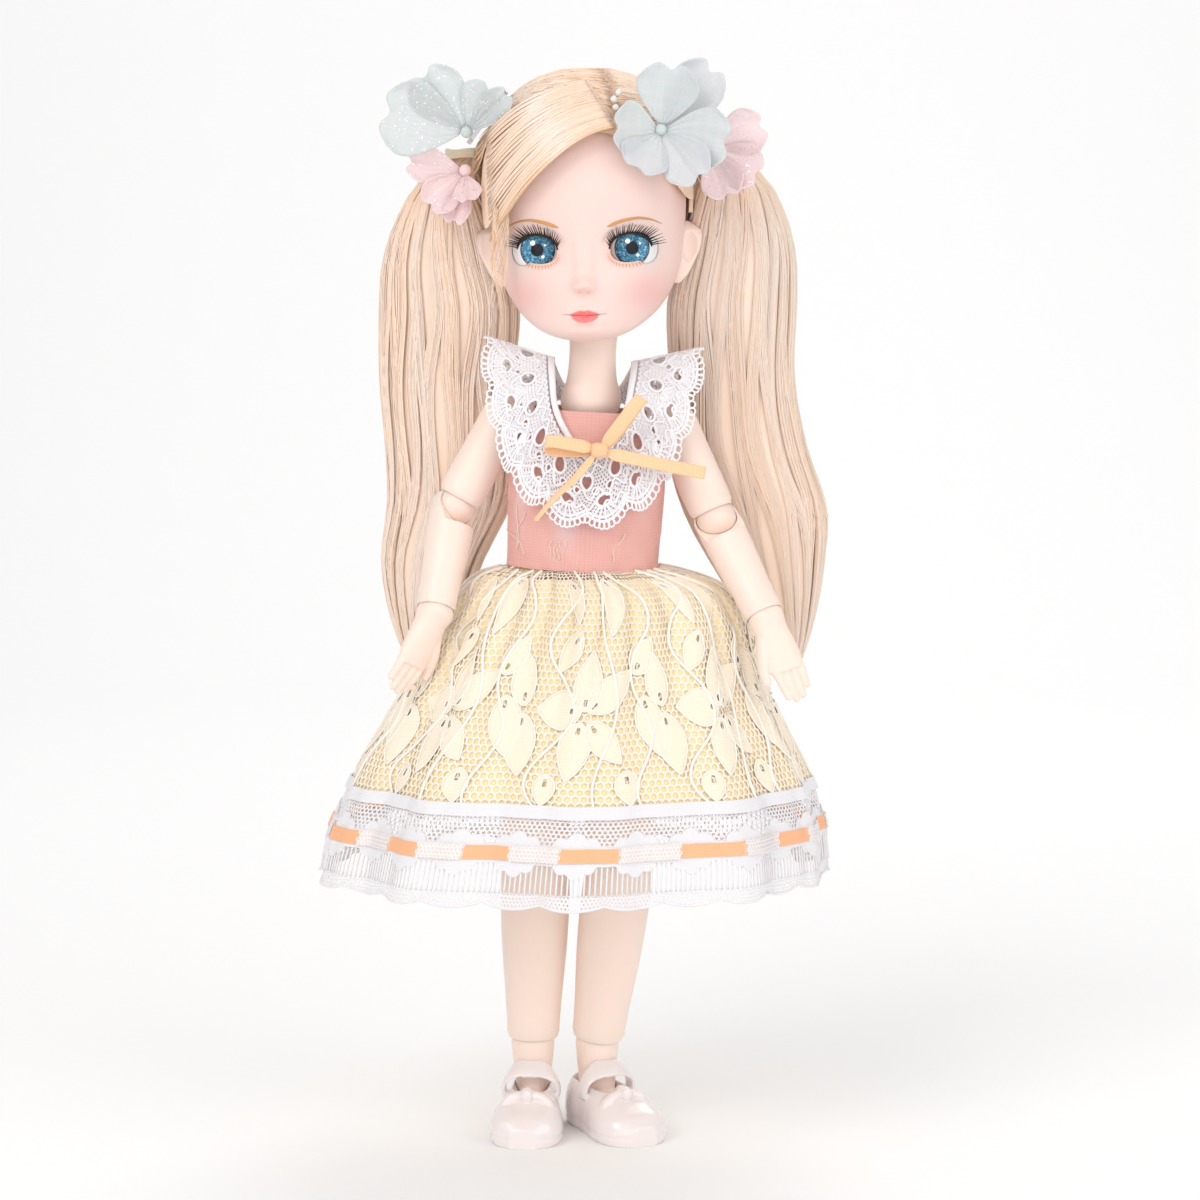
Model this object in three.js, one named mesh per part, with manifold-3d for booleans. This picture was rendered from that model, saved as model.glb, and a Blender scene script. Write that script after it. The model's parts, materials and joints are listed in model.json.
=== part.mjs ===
// A jointed fashion doll, 30 cm tall, in a lace dress with two bunches of hair and organza flowers.
// Millimetres, +Z up. The doll faces -Y and its left hand is towards +X.
// The origin is on the floor, under the middle of the skirt. She leans a little to her left.
import * as THREE from "three";
import { mergeVertices } from "three/addons/utils/BufferGeometryUtils.js";
import Module from "manifold-3d";

const wasm = await Module();
wasm.setup();

// Driving dimensions
const gap = 0.3; // running clearance between pieces
const finest = 0.12; // slivers thinner than this are merged away after a cut or a join
const bodyLean = 3; // degrees that the pelvis and chest lean to the doll's left
const pelvisAt = [1.5, 0, 133.1];
const hipOffset = 11.3;
const waistHeight = 26; // above the hip line, along the leaning body
const shoulderHeight = 66.4;
const shoulderOffset = 23.8;
const neckBaseHeight = 73;
const neckTop = [6.2, 3, 229]; // the ball that the head turns on
const headAt = [5.2, 0, 247.5]; // between the eyes, in line with the ears
const headYaw = -3; // degrees, towards the doll's right
const headRoll = -1.3;

// A limb's two lengths, its round top, the ball between its halves, the rim around that ball, its girth,
// and the dome at its far end. Sway is how much lower the shin's rim lies, so that the knee also turns a bit.
const arm = {
  upper: 28,
  lower: 32,
  dome: 6.4,
  ball: 5.5,
  rim: 2.6,
  rimRadius: 5.7,
  girth: 6.3,
  wristDome: 5.0,
};
const leg = {
  upper: 54.9,
  lower: 54.9,
  dome: 9.8,
  ball: 7.8,
  rim: 3.4,
  rimRadius: 8.4,
  girth: 9.4,
  ankleDome: 6.1,
  sway: 1.3,
};
const ankleHeight = 24;

// Balls, the pegs that they turn on, and the stems that hold the shoulders and hips
const pegs = {
  waist: { ball: 11, radius: 3.2, length: 16.5 },
  neck: { ball: 7.5, radius: 2.5, length: 14.3 },
  elbow: { ball: arm.ball, radius: 2, length: 13 },
  wrist: { ball: 2.2, radius: 1.4, length: 11 },
  knee: { ball: leg.ball, radius: 2.6, length: 19 },
  ankle: { ball: 2.6, radius: 1.6, length: 13 },
};
const pegPlay = 0.5; // each peg's bore is this much longer than the peg
const stems = {
  shoulder: { ball: 2.9, radius: 1.6, length: 13 },
  hip: { ball: 4, radius: 2, length: hipOffset - gap },
};
const eye = { radius: 7.6, x: 12.4, y: -14.3, z: 0.3, openWidth: 12.4, openHeight: 8.2 };

// Colours, as moulded, woven or dyed
const skin = { color: 0xf9d9c4, roughness: 0.5 };
const skinFace = { color: 0xfbdcd0, roughness: 0.6 };
const hairBlond = { color: 0xf0cf9b, roughness: 0.45 };
const finishes = {
  skin,
  skinFace,
  hairBlond,
  eyeBlue: { color: 0x2f8fb8, roughness: 0.12 },
  lashBlack: { color: 0x1a1210, roughness: 0.7 },
  jointWhite: { color: 0xf3dccb, roughness: 0.5 },
  shoeWhite: { color: 0xf0e6e4, roughness: 0.3 },
  bodicePink: { color: 0xdc8f86, roughness: 0.8 },
  laceWhite: { color: 0xf8f4f2, roughness: 0.85 },
  laceCream: { color: 0xf7ebc9, roughness: 0.85 },
  liningYellow: { color: 0xf6dd95, roughness: 0.85 },
  ribbonPeach: { color: 0xf7b98a, roughness: 0.4 },
  organzaMint: { color: 0xcfe4dc, roughness: 0.7 },
  organzaPink: { color: 0xf2c9c9, roughness: 0.7 },
  clipSteel: { color: 0xc8c8cc, roughness: 0.3, metalness: 0.9 },
  elasticCream: { color: 0xf2e2c4, roughness: 0.8 },
};

const radians = THREE.MathUtils.degToRad;
const vector = (p) => new THREE.Vector3(...p);
const sides = [
  ["right", -1],
  ["left", 1],
];

// Table rows are [height, value, value, ...]: this reads the values at any height along smooth curves.
function readTable(table, height) {
  const rows = table[0][0] < table[table.length - 1][0] ? table : [...table].reverse();
  let i = rows.findIndex((row) => row[0] > height) - 1;
  if (i === -2) i = rows.length - 2;
  i = Math.max(0, Math.min(i, rows.length - 2));
  const [a, b] = [rows[i], rows[i + 1]];
  const span = b[0] - a[0];
  const t = Math.max(0, Math.min(1, (height - a[0]) / span));
  const slope = (k, j) => {
    const lower = rows[Math.max(k - 1, 0)];
    const upper = rows[Math.min(k + 1, rows.length - 1)];
    return ((upper[j] - lower[j]) / (upper[0] - lower[0])) * span;
  };
  return a.slice(1).map((_, n) => {
    const j = n + 1;
    const t2 = t * t;
    const t3 = t2 * t;
    return (
      (2 * t3 - 3 * t2 + 1) * a[j] +
      (t3 - 2 * t2 + t) * slope(i, j) +
      (3 * t2 - 2 * t3) * b[j] +
      (t3 - t2) * slope(i + 1, j)
    );
  });
}

// A level ring of points: half width rx, and its own depth to the front and to the back.
function ovalRing(z, { x = 0, y = 0, rx, front, back = front, power = 2, count = 16 }) {
  return Array.from({ length: count }, (_, i) => {
    const angle = (i / count) * 2 * Math.PI;
    const bend = (v) => Math.sign(v) * Math.abs(v) ** (2 / power);
    const depth = Math.sin(angle) < 0 ? front : back;
    return [x + rx * bend(Math.cos(angle)), y + depth * bend(Math.sin(angle)), z];
  });
}

const meanPoint = (ring) => [0, 1, 2].map((k) => ring.reduce((sum, p) => sum + p[k], 0) / ring.length);

// A closed skin through rings with equally many points, with a fan over each end.
function skinOver(rings) {
  const count = rings[0].length;
  const points = rings.flat();
  const first = points.push(meanPoint(rings[0])) - 1;
  const last = points.push(meanPoint(rings[rings.length - 1])) - 1;
  const top = (rings.length - 1) * count;
  const faces = [];
  for (let i = 0; i < count; i++) {
    const j = (i + 1) % count;
    for (let low = 0; low < top; low += count) {
      const high = low + count;
      faces.push([low + i, low + j, high + j], [low + i, high + j, high + i]);
    }
    faces.push([first, j, i], [last, top + i, top + j]);
  }
  return facing(points, faces);
}

// A geometry from points and triangles, turned so that its faces point out.
function facing(points, faces) {
  const volume = faces.reduce((sum, [a, b, c]) => {
    return sum + vector(points[a]).dot(vector(points[b]).cross(vector(points[c])));
  }, 0);
  const index = volume < 0 ? faces.map(([a, b, c]) => [a, c, b]) : faces;
  const geometry = new THREE.BufferGeometry();
  geometry.setAttribute("position", new THREE.Float32BufferAttribute(points.flat(), 3));
  geometry.setIndex(index.flat());
  return geometry;
}

// A thin sheet given by sheet(u, v), with u and v from 0 to 1, thickened along its own normal.
function sheetSolid(sheet, { across, along, thickness, closed = false }) {
  const step = 1e-3;
  const at = (u, v) => vector(sheet(u, v));
  const inside = (u) => (closed ? u : Math.max(0, Math.min(1, u)));
  const outer = [];
  const inner = [];
  const columns = closed ? across : across + 1;
  for (let j = 0; j <= along; j++) {
    for (let i = 0; i < columns; i++) {
      const [u, v] = [i / across, j / along];
      const du = at(inside(u + step), v).sub(at(inside(u - step), v));
      const dv = at(u, Math.min(v + step, 1)).sub(at(u, Math.max(v - step, 0)));
      const normal = du.cross(dv).normalize().multiplyScalar(thickness / 2);
      outer.push(at(u, v).add(normal).toArray());
      inner.push(at(u, v).sub(normal).toArray());
    }
  }
  const faces = [];
  const below = outer.length;
  const quad = (a, b, c, d) => faces.push([a, b, c], [a, c, d]);
  const next = (i) => (closed ? (i + 1) % columns : i + 1);
  const spans = closed ? columns : columns - 1;
  for (let j = 0; j < along; j++) {
    for (let i = 0; i < spans; i++) {
      const [a, b] = [j * columns + i, j * columns + next(i)];
      const [c, d] = [b + columns, a + columns];
      quad(a, b, c, d);
      quad(below + d, below + c, below + b, below + a);
    }
    if (closed) continue;
    const [left, right] = [j * columns, j * columns + columns - 1];
    quad(left, left + columns, below + left + columns, below + left);
    quad(right + columns, right, below + right, below + right + columns);
  }
  for (let i = 0; i < spans; i++) {
    const bottom = along * columns;
    quad(next(i), i, below + i, below + next(i));
    quad(bottom + i, bottom + next(i), below + bottom + next(i), below + bottom + i);
  }
  return facing([...outer, ...inner], faces);
}

// Solids for joining and cutting
function solid(geometry) {
  const bare = new THREE.BufferGeometry();
  bare.setAttribute("position", geometry.getAttribute("position"));
  bare.setIndex(geometry.index);
  const merged = mergeVertices(bare, 1e-4);
  return new wasm.Manifold(
    new wasm.Mesh({
      numProp: 3,
      vertProperties: new Float32Array(merged.attributes.position.array),
      triVerts: new Uint32Array(merged.index.array),
    }),
  );
}

function geometryOf(body) {
  const mesh = body.simplify(finest).getMesh();
  const geometry = new THREE.BufferGeometry();
  geometry.setAttribute("position", new THREE.Float32BufferAttribute([...mesh.vertProperties], 3));
  geometry.setIndex([...mesh.triVerts]);
  return geometry;
}

const cut = (from, ...tools) => {
  return geometryOf(tools.reduce((body, tool) => body.subtract(solid(tool)), solid(from)));
};
const join = (first, ...others) => {
  return geometryOf(others.reduce((body, other) => body.add(solid(other)), solid(first)));
};
const shared = (one, other) => geometryOf(solid(one).intersect(solid(other)));

function ball(radius, at = [0, 0, 0], around = 12, up = 8) {
  return new THREE.SphereGeometry(radius, around, up).rotateX(Math.PI / 2).translate(...at);
}

// The room for a ball to turn in: its flat facets keep the running clearance from the ball's corners.
function socket(radius, at = [0, 0, 0], around = 12, up = 8) {
  const flatness = Math.cos(Math.PI / around) * Math.cos(Math.PI / (2 * up));
  return ball((radius + gap * 0.7) / flatness, at, around, up);
}

// The turn that takes one unit axis to a direction.
function turnOnto(direction, axis = [0, 1, 0]) {
  return new THREE.Quaternion().setFromUnitVectors(vector(axis), direction.clone().normalize());
}

// A round rod between two points.
function rod(from, to, radius, facets = 8) {
  const direction = vector(to).sub(vector(from));
  const middle = vector(from).add(vector(to)).multiplyScalar(0.5);
  return new THREE.CylinderGeometry(radius, radius, direction.length(), facets)
    .applyQuaternion(turnOnto(direction))
    .translate(...middle.toArray());
}

const block = (size, at) => new THREE.BoxGeometry(...size).translate(...at);

// A flat outline in the plane across an axis, extruded evenly to both sides of a place on that axis.
function prism(outline, depth, axis, middle = 0) {
  const shape = new THREE.Shape(outline.map(([a, b]) => new THREE.Vector2(a, b)));
  const plate = new THREE.ExtrudeGeometry(shape, { depth, bevelEnabled: false });
  plate.translate(0, 0, -depth / 2);
  if (axis !== "z") plate.rotateX(Math.PI / 2);
  if (axis === "x") plate.rotateZ(Math.PI / 2);
  return plate.translate(...["x", "y", "z"].map((each) => (each === axis ? middle : 0)));
}

// An outline made of an arc about the origin, from one angle to another in degrees, then back to the centre.
function sector(radius, fromDegrees, toDegrees, steps = 10) {
  const arc = Array.from({ length: steps + 1 }, (_, i) => {
    const angle = radians(fromDegrees + ((toDegrees - fromDegrees) * i) / steps);
    return [radius * Math.cos(angle), radius * Math.sin(angle)];
  });
  return [[0, 0], ...arc];
}

// Meshes and pivots
const figure = new THREE.Group();

function piece(name, geometry, finish, parent) {
  const mesh = new THREE.Mesh(geometry, new THREE.MeshStandardMaterial(finishes[finish]));
  mesh.name = name;
  parent.add(mesh);
  return mesh;
}

// A named pivot. What hangs on it turns about its axis. Degrees is how far it is turned as the doll stands.
function pivot(name, parent, at, axis, degrees = 0) {
  const group = new THREE.Group();
  group.name = name;
  group.position.set(...at);
  group.rotation[axis] = radians(degrees);
  group.userData.axis = axis;
  parent.add(group);
  figure.updateMatrixWorld(true);
  return group;
}

// Turns a pivot so that it stands upright in the room, with its own yaw and roll.
function standUpright(group, yaw, roll = 0) {
  group.parent.updateWorldMatrix(true, false);
  const parentTurn = new THREE.Quaternion().setFromRotationMatrix(group.parent.matrixWorld);
  const wanted = new THREE.Quaternion().setFromEuler(new THREE.Euler(0, radians(roll), radians(yaw), "ZYX"));
  group.quaternion.copy(parentTurn.invert().multiply(wanted));
  figure.updateMatrixWorld(true);
}

// Lays a pivot's limb along a direction of the room, its hinge square to the way that it faces.
function layAlong(group, direction, facing) {
  group.parent.updateWorldMatrix(true, false);
  const up = direction.clone().normalize().negate();
  const across = new THREE.Vector3(-facing[1], facing[0], 0);
  across.addScaledVector(up, -across.dot(up)).normalize();
  const front = new THREE.Vector3().crossVectors(up, across);
  const basis = new THREE.Matrix4().makeBasis(across, front, up);
  const wanted = new THREE.Quaternion().setFromRotationMatrix(basis);
  const parentTurn = group.parent.getWorldQuaternion(new THREE.Quaternion());
  group.quaternion.copy(parentTurn.invert().multiply(wanted));
  figure.updateMatrixWorld(true);
}

// How far each joint of a two-part limb turns so that it reaches from root to end, its middle joint pushed
// out towards pole. All is in the frame of the body that carries the limb, which hangs along -Z at zero.
function reach(root, end, upper, lower, pole, bendsForward) {
  const span = vector(end).sub(vector(root));
  const distance = span.length();
  const along = (distance ** 2 + upper ** 2 - lower ** 2) / (2 * distance);
  const line = span.clone().normalize();
  const out = vector(pole).sub(line.clone().multiplyScalar(vector(pole).dot(line))).normalize();
  const middle = line.clone().multiplyScalar(along).addScaledVector(out, Math.sqrt(upper ** 2 - along ** 2));
  const first = middle.clone().normalize();
  const second = span.clone().sub(middle).normalize();
  const swing = Math.atan2(first.y, -first.z);
  const lift = -Math.asin(first.x);
  const frame = new THREE.Matrix4().makeRotationX(swing).multiply(new THREE.Matrix4().makeRotationY(lift));
  const backward = out.clone().multiplyScalar(bendsForward ? 1 : -1);
  const local = backward.applyMatrix4(frame.clone().invert());
  const turn = Math.atan2(-local.x, local.y);
  const bend = Math.acos(Math.min(1, first.dot(second))) * (bendsForward ? -1 : 1);
  return [swing, lift, turn, bend].map(THREE.MathUtils.radToDeg);
}

// Head
const wallThickness = 2.2;
const capSplit = 7; // the back cap starts this far behind the line through the ears
const eyeSlant = 0.06; // how much higher the eyes' outer corners are, as a slope
const neckInHead = neckTop.map((value, i) => value - headAt[i]);
const neckMouth = [neckInHead[0] + 0.4, neckInHead[1] - 1, neckInHead[2] - 14];

// [height, half width, front, back]. Heights are from the eyes, depths from the line through the ears.
const headTable = [
  [-24.8, 3.0, -18.5, -10.0],
  [-23.4, 9.0, -22.2, -4.5],
  [-21.0, 14.0, -24.3, 2.0],
  [-16.5, 19.4, -25.4, 9.5],
  [-10.0, 23.4, -25.6, 18.0],
  [-4.0, 25.3, -25.2, 23.5],
  [2.0, 26.2, -25.3, 26.8],
  [10.0, 26.9, -26.3, 29.0],
  [18.0, 27.0, -26.6, 29.8],
  [26.0, 25.8, -25.0, 28.8],
  [34.0, 22.4, -21.0, 25.4],
  [40.0, 17.4, -15.5, 19.6],
  [44.5, 10.6, -8.6, 12.2],
  [46.6, 3.4, -2.0, 4.6],
];

// The head's rings are blunt ovals about a line behind the ears' own. Its height is taken about its middle.
const headOval = { power: 2.15, y: 2, middle: 10, height: 47 };

// Under the mouth the line of the ovals moves forward into the chin, so that each ring stays an oval.
function ovalLine(front, back, height) {
  const intoChin = 1 - THREE.MathUtils.smoothstep(height, -22, -13);
  return THREE.MathUtils.lerp(headOval.y, (front + back) / 2, intoChin);
}

const bump = (v, width) => Math.exp(-((v / width) ** 2));

// How far the face stands out in front of the plain oval of the head.
function faceRelief(x, z) {
  const bridge = 1.3 * bump(x, 3.0) * bump(z + 3.2, 5.4);
  const tip = 2.9 * bump(x, 2.6) * bump(z + 8.9, 2.3);
  const wings = 0.9 * bump(Math.abs(x) - 2.2, 1.3) * bump(z + 9.6, 1.4);
  const lips = 1.3 * bump(x, 4.2) * bump(z + 17.0, 2.3);
  const chin = 1.0 * bump(x, 6.0) * bump(z + 22.0, 3.0);
  const sockets = -0.6 * bump(Math.abs(x) - 11.6, 7.2) * bump(z - 1.6, 5.4);
  const cheeks = 0.7 * bump(Math.abs(x) - 12.5, 6.5) * bump(z + 11.0, 5.5);
  return bridge + tip + wings + lips + chin + sockets + cheeks;
}

// The head as rings. Grown is how far it is offset, and relief says whether the face is drawn on it.
function headRings(grown, relief, heights, count) {
  return heights.map((height) => {
    const [halfWidth, front, back] = readTable(headTable, height);
    const line = ovalLine(front, back, height);
    const lifted = height + ((height - headOval.middle) * grown) / headOval.height;
    return Array.from({ length: count }, (_, i) => {
      const even = (i / count) * 2 * Math.PI;
      const angle = even + (relief ? 0.34 * Math.cos(even) : 0);
      const bend = (v) => Math.sign(v) * Math.abs(v) ** (2 / headOval.power);
      const x = (halfWidth + grown) * bend(Math.cos(angle));
      const depth = grown + (Math.sin(angle) < 0 ? line - front : back - line);
      const y = line + depth * bend(Math.sin(angle));
      const out = relief && y < headOval.y ? faceRelief(x, height) * Math.min(1, (headOval.y - y) / 14) : 0;
      return [x, y - out, lifted];
    });
  });
}

const faceHeights = [
  -24.8, -23.4, -21, -18.6, -17, -15.2, -12.5, -10.5, -8.8, -6, -1, 5, 14, 25, 35, 43, 46.6,
];
const plainHeights = [-24.8, -17, -9, 1, 11, 20, 29, 36, 42, 46.6];
const cavityHeights = [-23, -14, 0, 16, 30, 41, 46];

// The almond of an eye's opening, as an outline in X and Z; side is 1 for the left eye.
function almond(side, steps = 16) {
  return Array.from({ length: steps }, (_, i) => {
    const angle = (i / steps) * 2 * Math.PI;
    const lid = Math.sin(angle) > 0 ? 0.98 : -0.86;
    const x = (eye.openWidth / 2) * Math.cos(angle);
    const z = (eye.openHeight / 2) * lid * Math.abs(Math.sin(angle)) ** 0.82;
    return [side * (eye.x + x), eye.z + z + eyeSlant * x];
  });
}

// An ear: a flat shell that stands out from the side of the head, hollow towards the front.
function ear() {
  const rows = [
    [-10.2, 0.8, 0.8],
    [-8.0, 2.4, 2.0],
    [-4.0, 4.0, 2.8],
    [0.5, 5.4, 3.4],
    [4.5, 5.2, 3.2],
    [6.8, 2.6, 1.6],
  ];
  const rings = rows.map(([z, reachOut, thick]) => {
    return ovalRing(z, { x: 23.8 + reachOut * 0.35, y: 5 + 0.12 * z, rx: reachOut, front: thick, count: 10 });
  });
  const shell = skinOver(rings);
  const hollow = ball(1, [0, 0, 0], 10, 7).scale(2.4, 1.6, 4.6).translate(28.0, 2.2, -0.4);
  return cut(shell, hollow);
}

// The same shape for the doll's left side, or its mirror image for the right.
const sideCopy = (geometry, side) => (side > 0 ? geometry : geometryOf(solid(geometry).mirror([1, 0, 0])));

function headShell() {
  const outside = skinOver(headRings(0, true, faceHeights, 28));
  const inside = skinOver(headRings(-wallThickness, false, cavityHeights, 12));
  const openings = sides.map(([, side]) => prism(almond(side), 30, "y", -30));
  const pockets = sides.map(([, side]) => socket(eye.radius, [side * eye.x, eye.y, eye.z]));
  const seat = socket(pegs.neck.ball, neckInHead);
  const throat = rod(neckInHead, neckMouth, 8.8, 12);
  const ears = sides.map(([, side]) => sideCopy(ear(), side));
  return cut(join(outside, ...ears), inside, ...openings, ...pockets, seat, throat);
}

// Eyelashes: a curved band along the upper lid with a fan of hairs fused to it.
function eyelash(side) {
  const lid = (t) => {
    const angle = radians(8 + 166 * t);
    const x = (eye.openWidth / 2 + 0.1) * Math.cos(angle);
    const z = (eye.openHeight / 2 + 0.1) * Math.sin(angle) ** 0.82;
    return onHead(eye.x + x, eye.z + z + eyeSlant * x, 0.9);
  };
  const curve = new THREE.CatmullRomCurve3(Array.from({ length: 9 }, (_, i) => vector(lid(i / 8))));
  const strip = new THREE.Shape([
    new THREE.Vector2(-0.25, -0.5),
    new THREE.Vector2(0.25, -0.5),
    new THREE.Vector2(0.25, 0.5),
    new THREE.Vector2(-0.25, 0.5),
  ]);
  const band = new THREE.ExtrudeGeometry(strip, { extrudePath: curve, steps: 9, bevelEnabled: false });
  const hairs = Array.from({ length: 8 }, (_, i) => {
    const t = 0.03 + 0.8 * (i / 7);
    const root = curve.getPoint(t);
    const fan = radians(20 + 100 * t);
    const length = 2.4 + 1.2 * (1 - t);
    const tip = [
      root.x + length * Math.cos(fan),
      root.y - 0.9 - 0.5 * (1 - t),
      root.z + length * 0.8 * Math.sin(fan),
    ];
    return spike(root.toArray(), tip, 0.3);
  });
  return sideCopy(join(band, ...hairs), side);
}

// A slim three-sided spike from a root point to its tip.
function spike(root, tip, radius) {
  const direction = vector(tip).sub(vector(root));
  return new THREE.CylinderGeometry(0.06, radius, direction.length(), 3)
    .translate(0, direction.length() / 2, 0)
    .applyQuaternion(turnOnto(direction))
    .translate(...root);
}

// Hair

// The wig fits the skull from the hairline back. It is cut away in front of a slanting hairline.
function wigCap() {
  const outside = skinOver(headRings(2.4, false, plainHeights, 16));
  const inside = skinOver(headRings(1.1, false, plainHeights, 16));
  const faceOpening = skinOver(
    [-60, -14, -4, 6].map((y) => {
      const shrink = Math.max(0, (y + 14) / 20);
      return Array.from({ length: 16 }, (_, i) => {
        const angle = (i / 16) * 2 * Math.PI;
        const up = Math.sin(angle) > 0 ? 30 - 12 * shrink : 34;
        return [1.5 + (27.5 + 6 * shrink) * Math.cos(angle), y, 2 + up * Math.sin(angle)];
      });
    }),
  );
  const belowEars = block([80, 44, 40], [0, -8, -26]);
  const nape = block([80, 80, 40], [0, 10, -32]);
  const earRoom = sides.map(([, side]) => block([16, 15, 21], [side * 30, 5, -1.5]));
  return cut(outside, inside, faceOpening, belowEars, nape, ...earRoom);
}

// The fringe sweeps from the parting across the forehead to the doll's right temple.
function fringe() {
  const sweep = (u, v) => {
    const start = [9.5 - 6 * v, 33 + 9.5 * v];
    const finish = [-25.3 - 0.6 * v, 3 + 22 * v];
    const bow = 4 * u * (1 - u) * (7.0 - 3 * v);
    const x = start[0] + (finish[0] - start[0]) * u;
    const z = start[1] + (finish[1] - start[1]) * u + bow * 0.9;
    return onHead(x, z, 4.3 + 1.0 * Math.sin(Math.PI * u));
  };
  return sheetSolid(sweep, { across: 10, along: 4, thickness: 1.6 });
}

// The point of the front of the head at x and z, in front of the plain oval by out.
function onHead(x, z, out) {
  const { power, middle, height } = headOval;
  const base = Math.max(-24, Math.min(46, z - ((z - middle) * out) / height));
  const [halfWidth, front, back] = readTable(headTable, base);
  const line = ovalLine(front, back, base);
  const share = Math.min(0.985, Math.abs(x) / (halfWidth + out));
  const depth = (line - front + out) * (1 - share ** power) ** (1 / power);
  return [x, line - depth, z];
}

// Bunches of hair from the eyes' middle: [height, x nearest the face, x outermost, middle in Y, half depth].
const bunchTables = {
  right: [
    [25, -29.5, -38, 5, 3.4],
    [19, -31.5, -47, 6, 5.5],
    [8, -32, -54, 8, 7.5],
    [-3, -29.5, -58, 11, 8.5],
    [-16, -26, -59.5, 15, 9],
    [-36, -23, -60.5, 18, 8.6],
    [-57, -23, -59.5, 19, 8.0],
    [-71, -24.5, -59.5, 19.5, 7.5],
    [-87, -32.5, -62, 20.5, 6.8],
    [-101, -38.5, -60.5, 21, 5.6],
    [-114, -45.5, -56.5, 21.5, 4.0],
    [-124, -48.5, -51.5, 22, 1.6],
  ],
  left: [
    [25, 29.5, 38, 5, 3.4],
    [19, 31.5, 48, 6, 5.5],
    [8, 32, 54, 8, 7.5],
    [-3, 29.5, 56.5, 11, 8.5],
    [-16, 26, 56.5, 15, 9],
    [-36, 21, 55.5, 18, 8.6],
    [-57, 20, 58.5, 19, 8.2],
    [-76, 24.5, 64, 20, 7.8],
    [-92, 32.5, 63, 20.5, 7],
    [-103, 39.5, 61, 21, 5.6],
    [-114, 46.5, 58, 21.5, 4.0],
    [-124, 50.5, 54, 22, 1.6],
  ],
};

function bunch(name) {
  const table = bunchTables[name];
  const [top, tip] = [table[0][0], table[table.length - 1][0]];
  const rings = Array.from({ length: 11 }, (_, i) => {
    const height = top + ((tip - top) * i) / 10;
    const [inner, outer, depth, thick] = readTable(table, height);
    const wave = 0.6 * Math.sin(height / 9);
    return ovalRing(height, {
      x: (inner + outer) / 2,
      y: depth + wave,
      rx: Math.abs(outer - inner) / 2,
      front: thick,
      count: 12,
    });
  });
  return skinOver(rings);
}

function hairTie(side) {
  const ring = new THREE.TorusGeometry(6.2, 1.2, 6, 12).scale(0.8, 0.66, 1);
  return sideCopy(ring.translate(33.75, 5, 26.6), side);
}

const stitchRadius = 1.7;
const petalNotch = 0.22;

// A petal of stiff organza: heart shaped, cupped, and narrow where it is stitched.
function petal(tip, width, cup) {
  const length = Math.hypot(...tip);
  const out = vector(tip).normalize();
  const across = new THREE.Vector3(0, -1, 0).cross(out).normalize();
  const face = out.clone().cross(across).normalize();
  const sheet = (u, v) => {
    const side = 2 * u - 1;
    const spread = (0.1 + 0.9 * Math.sin(Math.min(1, v * 1.12) * Math.PI * 0.62) ** 0.9) * (width / 2);
    const notch = -petalNotch * v ** 3 * (0.5 * Math.cos(side * Math.PI * 1.1) + 0.15 * side * side);
    const far = stitchRadius + (length - stitchRadius) * (v * (1 - 0.16 * side * side * v) + notch);
    const lift = cup * (side * side - 0.35) * v + 1.2 * v * v;
    return new THREE.Vector3()
      .addScaledVector(out, far)
      .addScaledVector(across, side * spread)
      .addScaledVector(face, lift)
      .toArray();
  };
  return sheetSolid(sheet, { across: 4, along: 2, thickness: 0.7 });
}

// Flowers by colour and side: where the stitches are, from the eyes, and each petal's tip, width and cup.
const flowers = {
  flower_mint_right: {
    at: [-32, -9, 32.5],
    petals: [
      [[-23, -4, 6.5], 21, 2.5],
      [[-12, -2, 17], 16, 1.6],
      [[8, -5, 13], 14, -2],
      [[13, -9, 11], 9, 1.4],
    ],
  },
  flower_pink_right: {
    at: [-33.0, -5.0, 22.0],
    petals: [
      [[-16, -3, 3], 10, 2],
      [[-10.5, -4, -10], 11, 2],
      [[-3.5, -3, -15], 8, 2],
      [[1.5, -6, -9], 8, 1],
    ],
  },
  flower_mint_left: {
    at: [21.5, -21.5, 32],
    petals: [
      [[3.5, -5, 18], 17, 2.4],
      [[15, 1, 17], 15, 2.4],
      [[-13, -6, 1], 15, 2.2],
      [[-7, -7, -11], 14, 2],
      [[19, -5, -4], 17, 2.2],
      [[11, -8, -14], 14, 2],
    ],
  },
  flower_pink_left: {
    at: [34, -12, 27],
    petals: [
      [[15.5, -2, 6], 13, 2],
      [[14, -3, -8], 13, 2],
      [[5.5, -4, -14], 12, 2],
    ],
  },
};

// The petals are stitched together at their narrow ends.
function flower({ petals }) {
  const stitches = ball(stitchRadius + 0.9, [0, 0, 0], 6, 4);
  return join(stitches, ...petals.map(([tip, width, cup]) => petal(tip, width, cup)));
}

function hairClip(side) {
  const plate = [
    [-9, -2],
    [7, -2.6],
    [9, -1.2],
    [9, 1.2],
    [7, 2.6],
    [-9, 2],
  ];
  return sideCopy(prism(plate, 1.2, "z"), side);
}

// Neck and torso

const chestTable = [
  [30.0, 19.4, -12.6, 12.0],
  [36.0, 19.6, -12.9, 12.0],
  [44.0, 20.0, -13.5, 12.2],
  [53.0, 20.0, -14.0, 12.6],
  [60.0, 19.6, -13.5, 12.4],
  [66.0, 18.8, -12.0, 11.6],
  [70.0, 16.4, -10.2, 10.4],
  [73.0, 12.0, -8.6, 9.0],
  [75.0, 8.2, -7.6, 7.9],
];
const pelvisTable = [
  [-14.0, 5.0, -5.5, 6.5],
  [-11.0, 12.0, -9.0, 10.5],
  [-6.0, 17.5, -11.5, 13.5],
  [0.0, 20.4, -12.8, 15.0],
  [8.0, 20.8, -13.0, 15.0],
  [15.0, 20.3, -12.8, 13.6],
  [22.0, 19.2, -12.2, 12.0],
];

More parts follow.
